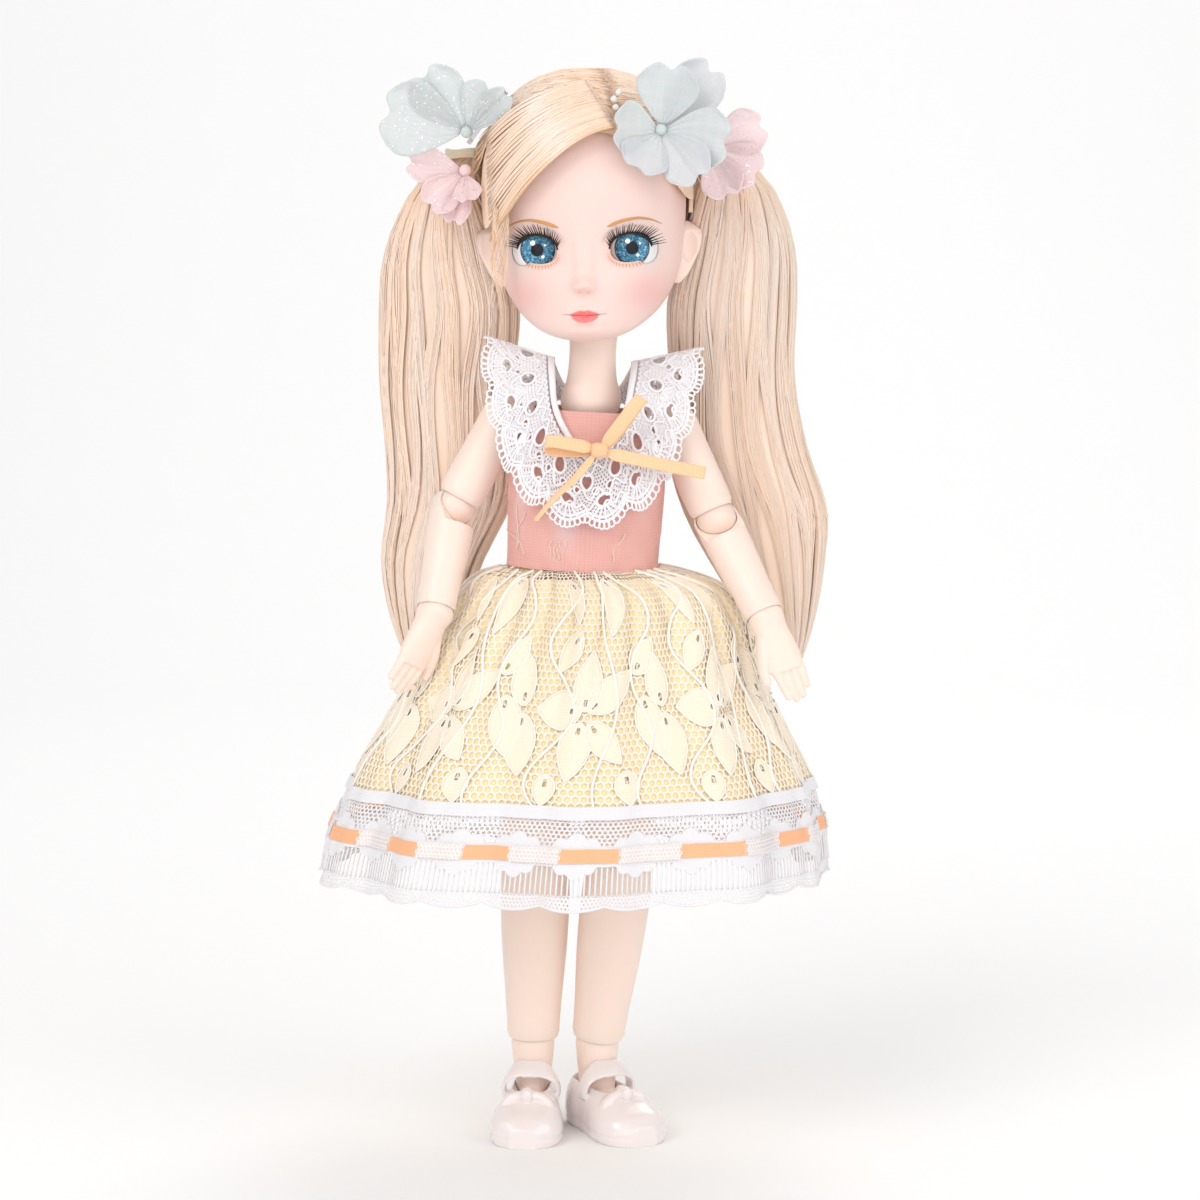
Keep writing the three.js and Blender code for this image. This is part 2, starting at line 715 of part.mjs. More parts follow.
const chestHeights = [30, 41, 53, 62, 67, 71, 75];

function torsoSkin(table, grown, heights, count = 18) {
  return skinOver(
    heights.map((height) => {
      const [halfWidth, front, back] = readTable(table, height);
      return ovalRing(height, {
        rx: halfWidth + grown,
        front: grown - front,
        back: back + grown,
        power: 2.3,
        count,
      });
    }),
  );
}

const neckSocket = 8.6;

// The bore that a peg turns in, from the middle of its ball upwards.
function pegBore({ radius, length }, at = [0, 0, 0]) {
  return rod(at, [at[0], at[1], at[2] + length + pegPlay], radius + 2 * gap);
}

function chestBody() {
  const shape = torsoSkin(chestTable, 0, chestHeights);
  const armSockets = sides.map(([, side]) => socket(arm.dome, [side * shoulderOffset, 0, shoulderHeight]));
  const armBores = sides.map(([, side]) => {
    const near = side * (shoulderOffset - stems.shoulder.length - pegPlay);
    const far = side * shoulderOffset;
    return rod([near, 0, shoulderHeight], [far, 0, shoulderHeight], stems.shoulder.radius + 2 * gap);
  });
  const waistSocket = socket(pegs.waist.ball, [0, 0, waistHeight]);
  const waistBore = pegBore(pegs.waist, [0, 0, waistHeight]);
  const neckRoom = socket(neckSocket, [0, 1, neckBaseHeight], 14, 9);
  return cut(shape, ...armSockets, ...armBores, waistSocket, waistBore, neckRoom);
}

function pelvisBody() {
  const heights = pelvisTable.map(([height]) => height);
  const shape = torsoSkin(pelvisTable, 0, heights);
  const reachDown = [
    [-41.5, 3.4],
    [-41.5, -40],
    [20.6, -40],
    [10.3, 2.7],
  ];
  const circle = sector(leg.dome + 2 * gap, 15, 100, 6).slice(1);
  const legRoom = sides.map(([, side]) => prism([...reachDown, ...circle], 21.6, "x", side * hipOffset));
  const sockets = sides.map(([, side]) => socket(leg.dome, [side * hipOffset, 0, 0]));
  const axleBore = rod([-hipOffset, 0, 0], [hipOffset, 0, 0], stems.hip.radius + 2 * gap);
  const waistSocket = socket(pegs.waist.ball, [0, 0, waistHeight]);
  return cut(shape, ...legRoom, ...sockets, axleBore, waistSocket);
}

// The two halves of a moulded body, parted down its side seams.
function half(body, front) {
  const size = 200;
  return shared(body, block([size, size, size], [0, front ? -size / 2 - gap / 2 : size / 2 + gap / 2, 0]));
}

// Limbs

// A straight limb: a round dome at the top joint, then its sections as [height, half width, front, back].
function limb(dome, table, count = 12) {
  const steps = 3;
  const cap = Array.from({ length: steps }, (_, i) => {
    const angle = (Math.PI / 2) * ((i + 0.35) / steps);
    const radius = dome * Math.sin(angle);
    return ovalRing(dome * Math.cos(angle), { rx: radius, front: radius, count });
  });
  const shaft = table.map(([z, rx, front, back]) => ovalRing(z, { rx, front, back, count }));
  return skinOver([...(dome ? cap : []), ...shaft]);
}

// The fan-shaped slot that a stem of this radius needs to swing between two angles, measured from +Z towards
// the second value of the plane's pair.
function fanOutline(radius, fromDegrees, toDegrees, length) {
  const [low, high] = [radians(fromDegrees), radians(toDegrees)];
  const along = (angle, far, aside) => [
    far * Math.sin(angle) + aside * Math.cos(angle),
    far * Math.cos(angle) - aside * Math.sin(angle),
  ];
  const middle = (low + high) / 2;
  return [
    along(high, 0, radius),
    along(high, length, radius),
    along(middle, length * 1.3, 0),
    along(low, length, -radius),
    along(low, 0, -radius),
    along(middle, -radius, 0),
  ];
}

// What is cut from the top of a forearm or shin so that the part above can fold over it by a right angle.
function foldNotch({ rim, rimRadius, girth }, facing) {
  const corner = 1 + gap / Math.hypot(rim, rimRadius);
  const outline = [
    [0, 30],
    [0, 0],
    [-rim * corner, -rimRadius * corner],
    [-rim - 1.5, -girth - gap],
    [-30, -girth - gap],
    [-30, 30],
  ];
  return prism(outline.map(([y, z]) => [facing * y, z]), 40, "x");
}

function upperArm(side) {
  const { upper, rim, rimRadius, girth } = arm;
  const shape = limb(arm.dome, [
    [0, arm.dome, arm.dome, arm.dome],
    [-8, girth, girth, girth],
    [-17, 6.4, 6.4, 6.3],
    [-upper + rim + 1.5, girth, girth, girth],
    [-upper + rim, rimRadius, rimRadius, rimRadius],
  ]);
  const elbow = [0, 0, -upper];
  const slot = stemSlot(stems.shoulder, side, -8, 98, 9);
  return cut(shape, socket(arm.ball, elbow), pegBore(pegs.elbow, elbow), smallSocket(stems.shoulder), slot);
}

// The room round a small ball, and the slot that a stem swings in.
const smallSocket = ({ ball: radius }) => socket(radius, [0, 0, 0], 8, 6);
function stemSlot({ radius }, side, fromDegrees, toDegrees, length) {
  const outline = fanOutline(radius + gap, fromDegrees, toDegrees, length);
  return prism(outline.map(([x, z]) => [-side * x, z]), 2 * (radius + gap), "y");
}

// A ball on a level stem that points into the body.
function stemBall({ ball: radius, radius: stemRadius, length }, side) {
  return join(ball(radius, [0, 0, 0], 8, 6), rod([0, 0, 0], [-side * length, 0, 0], stemRadius));
}

// A ball on an upright peg.
function pegBall({ ball: radius, radius: pegRadius, length }, around = 10, up = 6) {
  return join(ball(radius, [0, 0, 0], around, up), rod([0, 0, 0], [0, 0, length], pegRadius));
}

function forearm() {
  const { lower, rim, rimRadius, girth } = arm;
  const shape = limb(0, [
    [rim - gap, rimRadius, rimRadius, rimRadius],
    [rim - gap - 1.5, girth, girth, girth],
    [-5, 6.4, 6.4, 6.4],
    [-12, 6.2, 6.1, 6.2],
    [-22, 5.6, 5.5, 5.6],
    [-lower + 1.6, 5.4, 5.3, 5.3],
  ]);
  const wrist = [0, 0, -lower];
  const wristSocket = socket(arm.wristDome, wrist);
  return cut(shape, socket(arm.ball), foldNotch(arm, 1), wristSocket, pegBore(pegs.wrist, wrist));
}

// The hand hangs from the wrist, its back to -Y. Side is where the thumb is: 1 towards +X.
function hand(side) {
  const palm = limb(arm.wristDome, [
    [0, arm.wristDome, 4.7, 4.7],
    [-4, 4.7, 3.3, 3.5],
    [-8, 5.1, 2.7, 3.1],
    [-12.5, 5.2, 2.4, 2.8],
    [-15.5, 4.8, 1.9, 2.2],
  ]);
  const fingers = [-3.7, -1.25, 1.2, 3.5].map((x, i) => {
    const length = [7.6, 9.9, 10.4, 9.2][i];
    return capsule([x * side, 0.1, -14], [x * side * 0.8 - side * 0.6, 1.4, -14 - length], 1.35, 1.0);
  });
  const thumb = capsule([side * 3.6, -0.2, -6.5], [side * 7.2, 0.6, -17.5], 1.9, 1.15);
  const slot = prism(fanOutline(pegs.wrist.radius + gap, -52, 52, 9), 3.6, "x");
  return cut(join(palm, ...fingers, thumb), smallSocket(pegs.wrist), slot);
}

// A tapered finger with round ends.
function capsule(from, to, startRadius, endRadius) {
  const direction = vector(to).sub(vector(from));
  const length = direction.length();
  const profile = [
    [startRadius * 0.6, -startRadius * 0.7],
    [startRadius, 0],
    [endRadius, length - endRadius],
    [endRadius * 0.6, length - endRadius * 0.25],
  ];
  const rings = profile.map(([radius, up]) => ovalRing(up, { rx: radius, front: radius, count: 5 }));
  return skinOver(rings)
    .applyQuaternion(turnOnto(direction, [0, 0, 1]))
    .translate(...from);
}

function thigh(side) {
  const { upper, rim, rimRadius, girth } = leg;
  const shape = limb(leg.dome, [
    [0, leg.dome, leg.dome, leg.dome],
    [-14, 10.0, 10.2, 10.2],
    [-30, 9.8, 10.0, 10.0],
    [-upper + rim + 1.5, girth, girth, girth],
    [-upper + rim, rimRadius, rimRadius, rimRadius],
  ]);
  const knee = [0, 0, -upper];
  const slot = stemSlot(stems.hip, side, 46, 97, 14);
  return cut(shape, socket(leg.ball, knee), pegBore(pegs.knee, knee), smallSocket(stems.hip), slot);
}

function shin() {
  const { lower, rim, rimRadius, girth, sway } = leg;
  const shape = limb(0, [
    [rim - gap - sway, rimRadius, rimRadius, rimRadius],
    [rim - gap - sway - 1.5, girth, girth, girth],
    [-6, 9.5, 9.3, 9.7],
    [-15, 9.6, 9.1, 10.3],
    [-27, 9.1, 8.5, 9.8],
    [-41, 8.0, 7.5, 8.2],
    [-lower + 4.6, 7.4, 7.1, 7.3],
    [-lower + 2.4, 7.2, 7.0, 7.1],
  ]);
  const ankle = [0, 0, -lower];
  const ankleSocket = socket(leg.ankleDome, ankle);
  return cut(shape, socket(leg.ball), foldNotch(leg, -1), ankleSocket, pegBore(pegs.ankle, ankle));
}

// A bare foot that points to -Y, under an ankle with a round top: the ankle and the foot, to be joined.
function footBody(grown = 0) {
  const sections = [
    [-5, 5.6, 6.0, 6.2],
    [-10, 5.0, 6.0, 6.2],
    [-20 - grown, 4.8, 6.0, 6.2],
  ].map(([z, ...sizes]) => [z, ...sizes.map((size) => size + grown)]);
  const ankle = limb(leg.ankleDome, [[0, leg.ankleDome, leg.ankleDome, leg.ankleDome], ...sections], 10);
  const rows = [
    [6.0, 3.6, 5.0],
    [-5.0, 6.3, 9.4],
    [-12.0, 7.2, 7.4],
    [-20.5, 7.4, 5.2],
    [-24.5, 4.2, 3.2],
  ];
  const floor = -ankleHeight + 2.8;
  const body = skinOver(
    rows.map(([y, halfWidth, height]) => {
      return Array.from({ length: 8 }, (_, i) => {
        const angle = (i / 8) * 2 * Math.PI;
        const up = Math.sin(angle) > 0 ? height + grown : 0.6 + grown;
        const z = floor + up * Math.sign(Math.sin(angle)) * Math.abs(Math.sin(angle)) ** 0.8;
        return [(halfWidth + grown) * Math.cos(angle), y + Math.sign(10 + y) * grown, z];
      });
    }),
  );
  return [ankle, body];
}

function foot() {
  const funnel = skinOver(
    [
      [0, pegs.ankle.radius + gap],
      [9, 8.6],
    ].map(([z, radius]) => ovalRing(z, { rx: radius, front: radius, count: 8 })),
  );
  return cut(join(...footBody()), smallSocket(pegs.ankle), funnel);
}

// [distance forward, half width, height of the upper at the middle], from heel to toe
const shoeTable = [
  [10.6, 3.0, 10.5],
  [8.8, 5.6, 13.6],
  [4.0, 7.1, 14.6],
  [-3.0, 7.7, 14.2],
  [-9.0, 8.8, 13.2],
  [-15.5, 10.1, 11.6],
  [-21.0, 10.1, 9.8],
  [-25.5, 8.0, 8.0],
  [-28.2, 4.0, 5.4],
];

function shoeForm() {
  return skinOver(
    shoeTable.map(([y, halfWidth, height]) => {
      return Array.from({ length: 12 }, (_, i) => {
        const angle = ((i + 0.5) / 12) * 2 * Math.PI;
        const sine = Math.sin(angle);
        const x = halfWidth * Math.sign(Math.cos(angle)) * Math.abs(Math.cos(angle)) ** 0.6;
        const z = sine > 0 ? 3 + (height - 3) * sine ** 0.85 : 3 + 3 * Math.max(sine * 1.8, -1);
        return [x, y, z - ankleHeight];
      });
    }),
  );
}

// A one-bar shoe: sole and upper in one, an open instep, a bar across it and a flat bow on the toe.
function shoe() {
  const outside = shoeForm();
  const footSpace = footBody(gap);
  const throat = skinOver(
    [
      [7.2, 5.2, 9.6],
      [0, 6.4, 9.6],
      [-8, 6.8, 9.6],
      [-12.6, 4.8, 7.4],
    ].map(([y, halfWidth, depth]) => {
      return Array.from({ length: 10 }, (_, i) => {
        const angle = (i / 10) * 2 * Math.PI;
        return [halfWidth * Math.cos(angle), y, 19 - ankleHeight + depth * Math.sin(angle)];
      });
    }),
  );
  const bar = skinOver(barRings());
  return cut(join(cut(outside, throat), bar, bowOnToe()), ...footSpace);
}

// The bar arches over the instep from one side of the shoe to the other.
function barRings() {
  return Array.from({ length: 8 }, (_, i) => {
    const angle = radians(-12 + 204 * (i / 7));
    const [x, z] = [7.0 * Math.cos(angle), 11.4 + 6.6 * Math.sin(angle) - ankleHeight];
    const [nx, nz] = [Math.cos(angle), Math.sin(angle)];
    const middle = -5.4 - 1.6 * Math.sin(angle);
    return [
      [x - nx * 0.8, middle - 2.1, z - nz * 0.8],
      [x + nx * 0.8, middle - 2.1, z + nz * 0.8],
      [x + nx * 0.8, middle + 2.1, z + nz * 0.8],
      [x - nx * 0.8, middle + 2.1, z - nz * 0.8],
    ];
  });
}

function bowOnToe() {
  const wing = (side) => {
    return skinOver(
      [
        [0.6, 1.1, 0.8],
        [6.2, 2.2, 0.9],
        [7.4, 1.6, 0.6],
      ].map(([x, halfLength, thick]) => {
        const z = 12.6 - 0.05 * x * x - ankleHeight;
        return Array.from({ length: 6 }, (_, i) => {
          const angle = (i / 6) * 2 * Math.PI;
          return [side * x, -14.2 + halfLength * Math.cos(angle), z + thick * Math.sin(angle)];
        });
      }),
    );
  };
  const knot = ball(1, [0, 0, 0], 6, 5).scale(1.7, 1.9, 1.5).translate(0, -14.2, 12.8 - ankleHeight);
  return join(wing(1), wing(-1), knot);
}

// Dress

// The bodice covers the chest from the waist seam to a straight neckline, with cut-away armholes.
function bodice() {
  const low = 28.5;
  const table = [[low, 19.4, -12.6, 12.0], ...chestTable.slice(1)];
  const middle = chestHeights.slice(1, -2);
  const outside = torsoSkin(table, 1.6, [low, ...middle, 72.5]);
  const inside = torsoSkin(chestTable, 0.5, [low - 1, ...chestHeights.slice(1)]);
  const armholes = sides.map(([, side]) => {
    return ball(1, [0, 0, 0], 10, 7).scale(10.4, 40, 11.4).translate(side * 25.6, 0, shoulderHeight + 0.4);
  });
  const above = block([60, 60, 20], [0, 0, 80.0]);
  return cut(outside, inside, ...armholes, above);
}

// The lace collar: [degrees from the front, then the inner edge's and the outer edge's X, Y and Z].
const collarTable = [
  [0, 0, -16.2, 58, 0, -18.2, 40],
  [25, 4.5, -15.6, 63, 10.5, -18.2, 44],
  [50, 9, -12.8, 70, 20.5, -15.5, 54],
  [75, 12.2, -7.5, 76.5, 27, -9.0, 74],
  [95, 13, -1, 78.5, 28, -1, 88],
  [120, 12.2, 6.5, 77, 22.5, 8.5, 81],
  [150, 7.5, 12.0, 73, 13, 15.5, 64],
  [180, 0, 13.8, 71, 0, 17, 60],
];

// It runs round the neckline: a deep V at the front, flounces over the shoulders, a shallow dip behind.
function collar() {
  const sheet = (u, v) => {
    const turn = 360 * u;
    const away = turn > 180 ? 360 - turn : turn;
    const [xi, yi, zi, xo, yo, zo] = readTable(collarTable, away);
    const side = turn > 180 ? -1 : 1;
    const ruffle = 0.8 * v * Math.cos(radians(12 * turn));
    const mix = (a, b) => a + (b - a) * v;
    const [x, y, z] = [mix(xi, xo), mix(yi, yo), mix(zi, zo)];
    return [side * x, y - ruffle * (Math.abs(z - 76) > 12 ? 1 : 0.2), z + ruffle * 0.6];
  };
  return sheetSolid(sheet, { across: 36, along: 2, thickness: 0.7, closed: true });
}

// A satin ribbon: a flat strip along a path of points, its width in the direction across.
function ribbon({ path, width, across }) {
  const curve = new THREE.CatmullRomCurve3(path.map(vector));
  const sideways = vector(across).normalize();
  const strip = (u, v) => curve.getPoint(v).addScaledVector(sideways, (u - 0.5) * width).toArray();
  return sheetSolid(strip, { across: 1, along: 6, thickness: 0.5 });
}

// Each loop and tail of the bow from its knot: its path, its width, and the direction that its width takes.
const bowStrips = [
  {
    path: [[-0.5, 0.2, 0], [-7, -2.0, 0.8], [-14.4, -0.6, 1.2], [-8, 1.0, 0.6], [-0.5, 0.6, 0]],
    width: 3.6,
    across: [0.1, 0.2, 1],
  },
  {
    path: [[0.5, 0.2, 0], [4.4, -2.0, 6], [10.2, -0.6, 14.6], [5.6, 1.0, 7], [0.5, 0.6, 0]],
    width: 3.8,
    across: [1, 0.2, -0.5],
  },
  {
    path: [[0.8, 0, -0.4], [9, -1.4, -1.6], [19, -1.0, -3.2], [29, -0.4, -4.6]],
    width: 3.6,
    across: [0.12, 0.2, 1],
  },
  {
    path: [[-0.8, 0, -0.6], [-6, -1.4, -7.5], [-12, -1.0, -14], [-16.5, -0.6, -20]],
    width: 2.2,
    across: [1, 0.1, -0.8],
  },
];

function bow() {
  const knot = ball(1, [0, 0, 0], 8, 6).scale(2.4, 1.5, 2.1);
  return join(knot, ...bowStrips.map(ribbon));
}

// Skirt: [height, middle in X, half width, front, back] in the room's frame
const skirtTable = [
  [159.6, 2.9, 21.6, 14.6, 14.4],
  [157.8, 4.0, 28.5, 18.5, 18.5],
  [154.0, 6.3, 35.5, 22.5, 24.0],
  [147.0, 6.5, 40.5, 26.5, 29.0],
  [141.0, 5.5, 43.4, 29.5, 32.0],
  [124.0, 3.6, 50.4, 37.0, 39.0],
  [105.0, 2.4, 60.6, 46.0, 47.5],
  [97.0, 2.2, 64.4, 50.0, 51.0],
  [85.0, 1.0, 68.4, 53.6, 54.0],
  [73.0, 0.1, 70.4, 55.8, 55.8],
];
const skirtTop = skirtTable[0][0];
const skirtHem = skirtTable[skirtTable.length - 1][0];
const foldCount = 11;

// The gathered cloth, offset outwards by out. Folds are deepest at the hem.
function skirtPoint(turn, height, out, pleated) {
  const [middle, halfWidth, front, back] = readTable(skirtTable, height);
  const angle = turn * 2 * Math.PI;
  const down = (skirtTop - height) / (skirtTop - skirtHem);
  const folds = Math.sin(foldCount * angle + 1.2 * Math.sin(2 * angle)) + 0.5 * Math.sin(9 * angle + 2);
  const wave = pleated * 1.1 * Math.min(1, down * 4) * (0.45 + 0.55 * down) * folds;
  const grown = out + wave;
  const depth = Math.sin(angle) < 0 ? front : back;
  return [middle + (halfWidth + grown) * Math.cos(angle), (depth + grown) * Math.sin(angle), height];
}

// One layer of the skirt between two heights. Easing above 1 puts more of its rows near the top.
function skirtLayer({ top, bottom, out, thickness, rows, easing = 1, columns = 38, pleated = 1 }) {
  const sheet = (u, v) => skirtPoint(u, top + (bottom - top) * v ** easing, out, pleated);
  return sheetSolid(sheet, { across: columns, along: rows, thickness, closed: true });
}

// Assembly
const pelvis = pivot("pelvis", figure, pelvisAt, "y", bodyLean);
const waistBend = pivot("waist_bend", pelvis, [0, 0, waistHeight], "x");
const waistTurn = pivot("waist_turn", waistBend, [0, 0, 0], "z");
const chest = new THREE.Group();
chest.position.set(0, 0, -waistHeight);
waistTurn.add(chest);
figure.updateMatrixWorld(true);

const pelvisSolid = pelvisBody();
piece("pelvis_front", half(pelvisSolid, true), "skin", pelvis);
piece("pelvis_back", half(pelvisSolid, false), "skin", pelvis);
piece("waist_joint", pegBall(pegs.waist), "jointWhite", waistBend);
const chestSolid = chestBody();
piece("chest_front", half(chestSolid, true), "skin", chest);
piece("chest_back", half(chestSolid, false), "skin", chest);

// Neck and head
const neckTilt = pivot("neck_tilt", chest, [0, 1, neckBaseHeight], "y");
standUpright(neckTilt, 0);
const neckAim = vector(neckTop).sub(neckTilt.getWorldPosition(new THREE.Vector3()));
const neckSections = [
  [-7.4, 3.4, 3.4],
  [-5.6, 6.2, 6.2],
  [-2.0, 8.2, 8.2],
  [1.5, 8.2, 8.0],
  [5, 7.0, 7.0],
  [10, 6.5, 6.5],
  [15, 6.5, 6.5],
  [19, 6.9, 6.9],
  [22.2, 7.1, 7.1],
];
const neckShape = skinOver(
  neckSections.map(([z, rx, front]) => {
    const share = z / neckAim.z;
    return ovalRing(z, { x: neckAim.x * share, y: neckAim.y * share, rx, front, count: 12 });
  }),
);
const neckCup = socket(pegs.neck.ball, neckAim.toArray());
const neckBoreEnd = neckAim.clone().multiplyScalar(0.35);
const neckBore = rod(neckAim.toArray(), neckBoreEnd.toArray(), pegs.neck.radius + 2 * gap);
piece("neck", cut(neckShape, neckCup, neckBore), "skin", neckTilt);
const headTurn = pivot("head_turn", neckTilt, neckAim.toArray(), "z");
layAlong(headTurn, neckAim.clone().negate(), [0, -1]);
const neckPeg = rod([0, 0, 0], [0, 0, -pegs.neck.length], pegs.neck.radius);
piece("neck_joint", join(ball(pegs.neck.ball), neckPeg), "jointWhite", headTurn);
const headNod = pivot("head_nod", headTurn, [0, 0, 0], "x");
standUpright(headNod, headYaw, headRoll);
const head = new THREE.Group();
head.position.set(-neckInHead[0], -neckInHead[1], -neckInHead[2]);
headNod.add(head);

const skull = headShell();
const behind = block([120, 60, 120], [0, capSplit + gap / 2 + 30, 10]);
const before = block([120, 60, 120], [0, capSplit - gap / 2 - 30, 10]);
piece("face_shell", shared(skull, before), "skinFace", head);
piece("head_back_cap", shared(skull, behind), "skinFace", head);
for (const [name, side] of sides) {
  piece(`eye_${name}`, ball(eye.radius, [side * eye.x, eye.y, eye.z]), "eyeBlue", head);
  piece(`eyelash_${name}`, eyelash(side), "lashBlack", head);
  piece(`bunch_${name}`, bunch(name), "hairBlond", head);
  piece(`hair_tie_${name}`, hairTie(side), "elasticCream", head);
}
piece("wig_cap", wigCap(), "hairBlond", head);
piece("fringe", fringe(), "hairBlond", head);
for (const [name, made] of Object.entries(flowers)) {
  const finish = name.includes("mint") ? "organzaMint" : "organzaPink";
  piece(name, flower(made), finish, head).position.set(...made.at);
}
for (const [name, side] of sides) {
  const clip = piece(`hair_clip_${name}`, hairClip(side), "clipSteel", head);
  clip.position.set(side * 26.5, -4.5, 36.5);
  clip.rotation.set(radians(10), radians(side * 52), 0);
}

// Arms: wrist and elbow directions in the room's frame
const armPoses = {
  right: { wrist: [-37.4, -18.5, 148.5], pole: [-0.7, 0.7, 0], handTurn: 4, handBend: 22 },
  left: { wrist: [53.2, -18.5, 147.0], pole: [-0.25, 0.97, 0], handTurn: 6, handBend: 10 },
};
for (const [name, side] of sides) {
  const pose = armPoses[name];
  const root = [side * shoulderOffset, 0, shoulderHeight];
  const end = chest.worldToLocal(vector(pose.wrist)).toArray();
  const [swing, lift, turn, bend] = reach(root, end, arm.upper, arm.lower, pose.pole, true);
  const shoulderSwing = pivot(`shoulder_swing_${name}`, chest, root, "x", swing);
  const shoulderLift = pivot(`shoulder_lift_${name}`, shoulderSwing, [0, 0, 0], "y", lift);
  const elbowTurn = pivot(`elbow_turn_${name}`, shoulderLift, [0, 0, -arm.upper], "z", turn);
  const elbowBend = pivot(`elbow_bend_${name}`, elbowTurn, [0, 0, 0], "x", bend);
  const wristTurn = pivot(`wrist_turn_${name}`, elbowBend, [0, 0, -arm.lower], "z", side * pose.handTurn);
  const wristBend = pivot(`wrist_bend_${name}`, wristTurn, [0, 0, 0], "x", pose.handBend);
  piece(`shoulder_joint_${name}`, stemBall(stems.shoulder, side), "jointWhite", shoulderSwing);
  piece(`upper_arm_${name}`, upperArm(side), "skin", shoulderLift);
  piece(`elbow_joint_${name}`, pegBall(pegs.elbow), "jointWhite", elbowTurn);
  piece(`forearm_${name}`, forearm(), "skin", elbowBend);
  piece(`wrist_joint_${name}`, pegBall(pegs.wrist, 8), "jointWhite", wristTurn);
  piece(`hand_${name}`, hand(-side), "skin", wristBend);
}

// Legs: the ankles are a little behind the hips, so that her weight is over her soles
const legPoses = {
  right: { ankle: [-11.1, 3.5, ankleHeight], pole: [0.25, -1, 0], kneeFacing: [0.25, -1], heading: -5 },
  left: { ankle: [7.0, 3.5, ankleHeight], pole: [0.47, -0.88, 0], kneeFacing: [0, -1], heading: 28 },
};
for (const [name, side] of sides) {
  const pose = legPoses[name];
  const root = [side * hipOffset, 0, 0];
  const end = pelvis.worldToLocal(vector(pose.ankle)).toArray();
  const [swing, spread] = reach(root, end, leg.upper, leg.lower, pose.pole, false);
  const hipSwing = pivot(`hip_swing_${name}`, pelvis, root, "x", swing);
  const hipSpread = pivot(`hip_spread_${name}`, hipSwing, [0, 0, 0], "y", spread);
  const kneeTurn = pivot(`knee_turn_${name}`, hipSpread, [0, 0, -leg.upper], "z");
  const kneeBend = pivot(`knee_bend_${name}`, kneeTurn, [0, 0, 0], "x");
  const knee = kneeBend.getWorldPosition(new THREE.Vector3());
  layAlong(kneeBend, vector(pose.ankle).sub(knee), pose.kneeFacing);
  const ankleTurn = pivot(`ankle_turn_${name}`, kneeBend, [0, 0, -leg.lower], "z");
  const ankleBend = pivot(`ankle_bend_${name}`, ankleTurn, [0, 0, 0], "x");
  standUpright(ankleBend, pose.heading);
  piece(`hip_joint_${name}`, stemBall(stems.hip, side), "jointWhite", hipSwing);
  piece(`thigh_${name}`, thigh(side), "skin", hipSpread);
  piece(`knee_joint_${name}`, pegBall(pegs.knee), "jointWhite", kneeTurn);
  piece(`shin_${name}`, shin(), "skin", kneeBend);
  piece(`ankle_joint_${name}`, pegBall(pegs.ankle, 8), "jointWhite", ankleTurn);
  piece(`foot_${name}`, foot(), "skin", ankleBend);
  piece(`shoe_${name}`, shoe(), "shoeWhite", ankleBend);
}

// Dress
piece("bodice", bodice(), "bodicePink", chest);
piece("lace_collar", collar(), "laceWhite", chest);
const bowPiece = piece("ribbon_bow", bow(), "ribbonPeach", chest);
bowPiece.position.set(3, -20.4, 60.5);
const plain = { columns: 20, pleated: 0 };
const skirtLayers = {
  skirt_lining: { top: 156.6, bottom: 98, out: -3.5, thickness: 0.5, rows: 4, easing: 2.2, ...plain },
  skirt_lace: { top: 159.5, bottom: 97.2, out: 0, thickness: 0.6, rows: 5, easing: 2.2 },
  hem_lace: { top: 96.8, bottom: 73, out: 0, thickness: 0.6, rows: 2 },
  hem_ribbon: { top: 89.4, bottom: 86.0, out: 0.75, thickness: 0.4, rows: 1 },
};
const skirtFinishes = {
  skirt_lining: "liningYellow",
  skirt_lace: "laceCream",
  hem_lace: "laceWhite",
  hem_ribbon: "ribbonPeach",
};
for (const [name, layer] of Object.entries(skirtLayers)) {
  piece(name, skirtLayer(layer), skirtFinishes[name], figure);
}

export default figure;
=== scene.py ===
import json
import math
import bpy
import numpy as np
from mathutils import Matrix


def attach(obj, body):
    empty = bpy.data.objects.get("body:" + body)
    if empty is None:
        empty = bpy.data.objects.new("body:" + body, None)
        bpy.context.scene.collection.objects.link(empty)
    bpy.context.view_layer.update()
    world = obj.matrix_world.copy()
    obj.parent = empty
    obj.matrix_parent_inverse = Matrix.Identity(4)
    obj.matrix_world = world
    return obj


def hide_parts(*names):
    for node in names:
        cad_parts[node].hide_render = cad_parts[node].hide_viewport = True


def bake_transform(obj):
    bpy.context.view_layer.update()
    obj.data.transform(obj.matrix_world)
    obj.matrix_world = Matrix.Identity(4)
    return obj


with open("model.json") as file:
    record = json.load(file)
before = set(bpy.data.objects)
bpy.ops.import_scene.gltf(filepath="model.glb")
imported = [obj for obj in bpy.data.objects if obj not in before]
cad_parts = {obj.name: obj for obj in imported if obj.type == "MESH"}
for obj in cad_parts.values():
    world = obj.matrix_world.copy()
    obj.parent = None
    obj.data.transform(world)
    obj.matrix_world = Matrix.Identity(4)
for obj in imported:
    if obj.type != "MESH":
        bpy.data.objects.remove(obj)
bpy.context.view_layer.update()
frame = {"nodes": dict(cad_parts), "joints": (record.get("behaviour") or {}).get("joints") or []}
mm = 0.001
sides = (("right", -1), ("left", 1))
rng = np.random.default_rng(7)
print("frame loaded")

# Places taken from the frame's joints. Everything below is in millimetres until a mesh is made.
joints = {joint["name"]: joint for joint in frame["joints"]}


def jointAt(name):
    return np.array(joints[name]["pos_m"]) / mm


def jointAxis(name):
    return np.array(joints[name]["axis"], float)


def unit(v):
    v = np.asarray(v, float)
    return v / np.maximum(np.linalg.norm(v, axis=-1, keepdims=True), 1e-12)


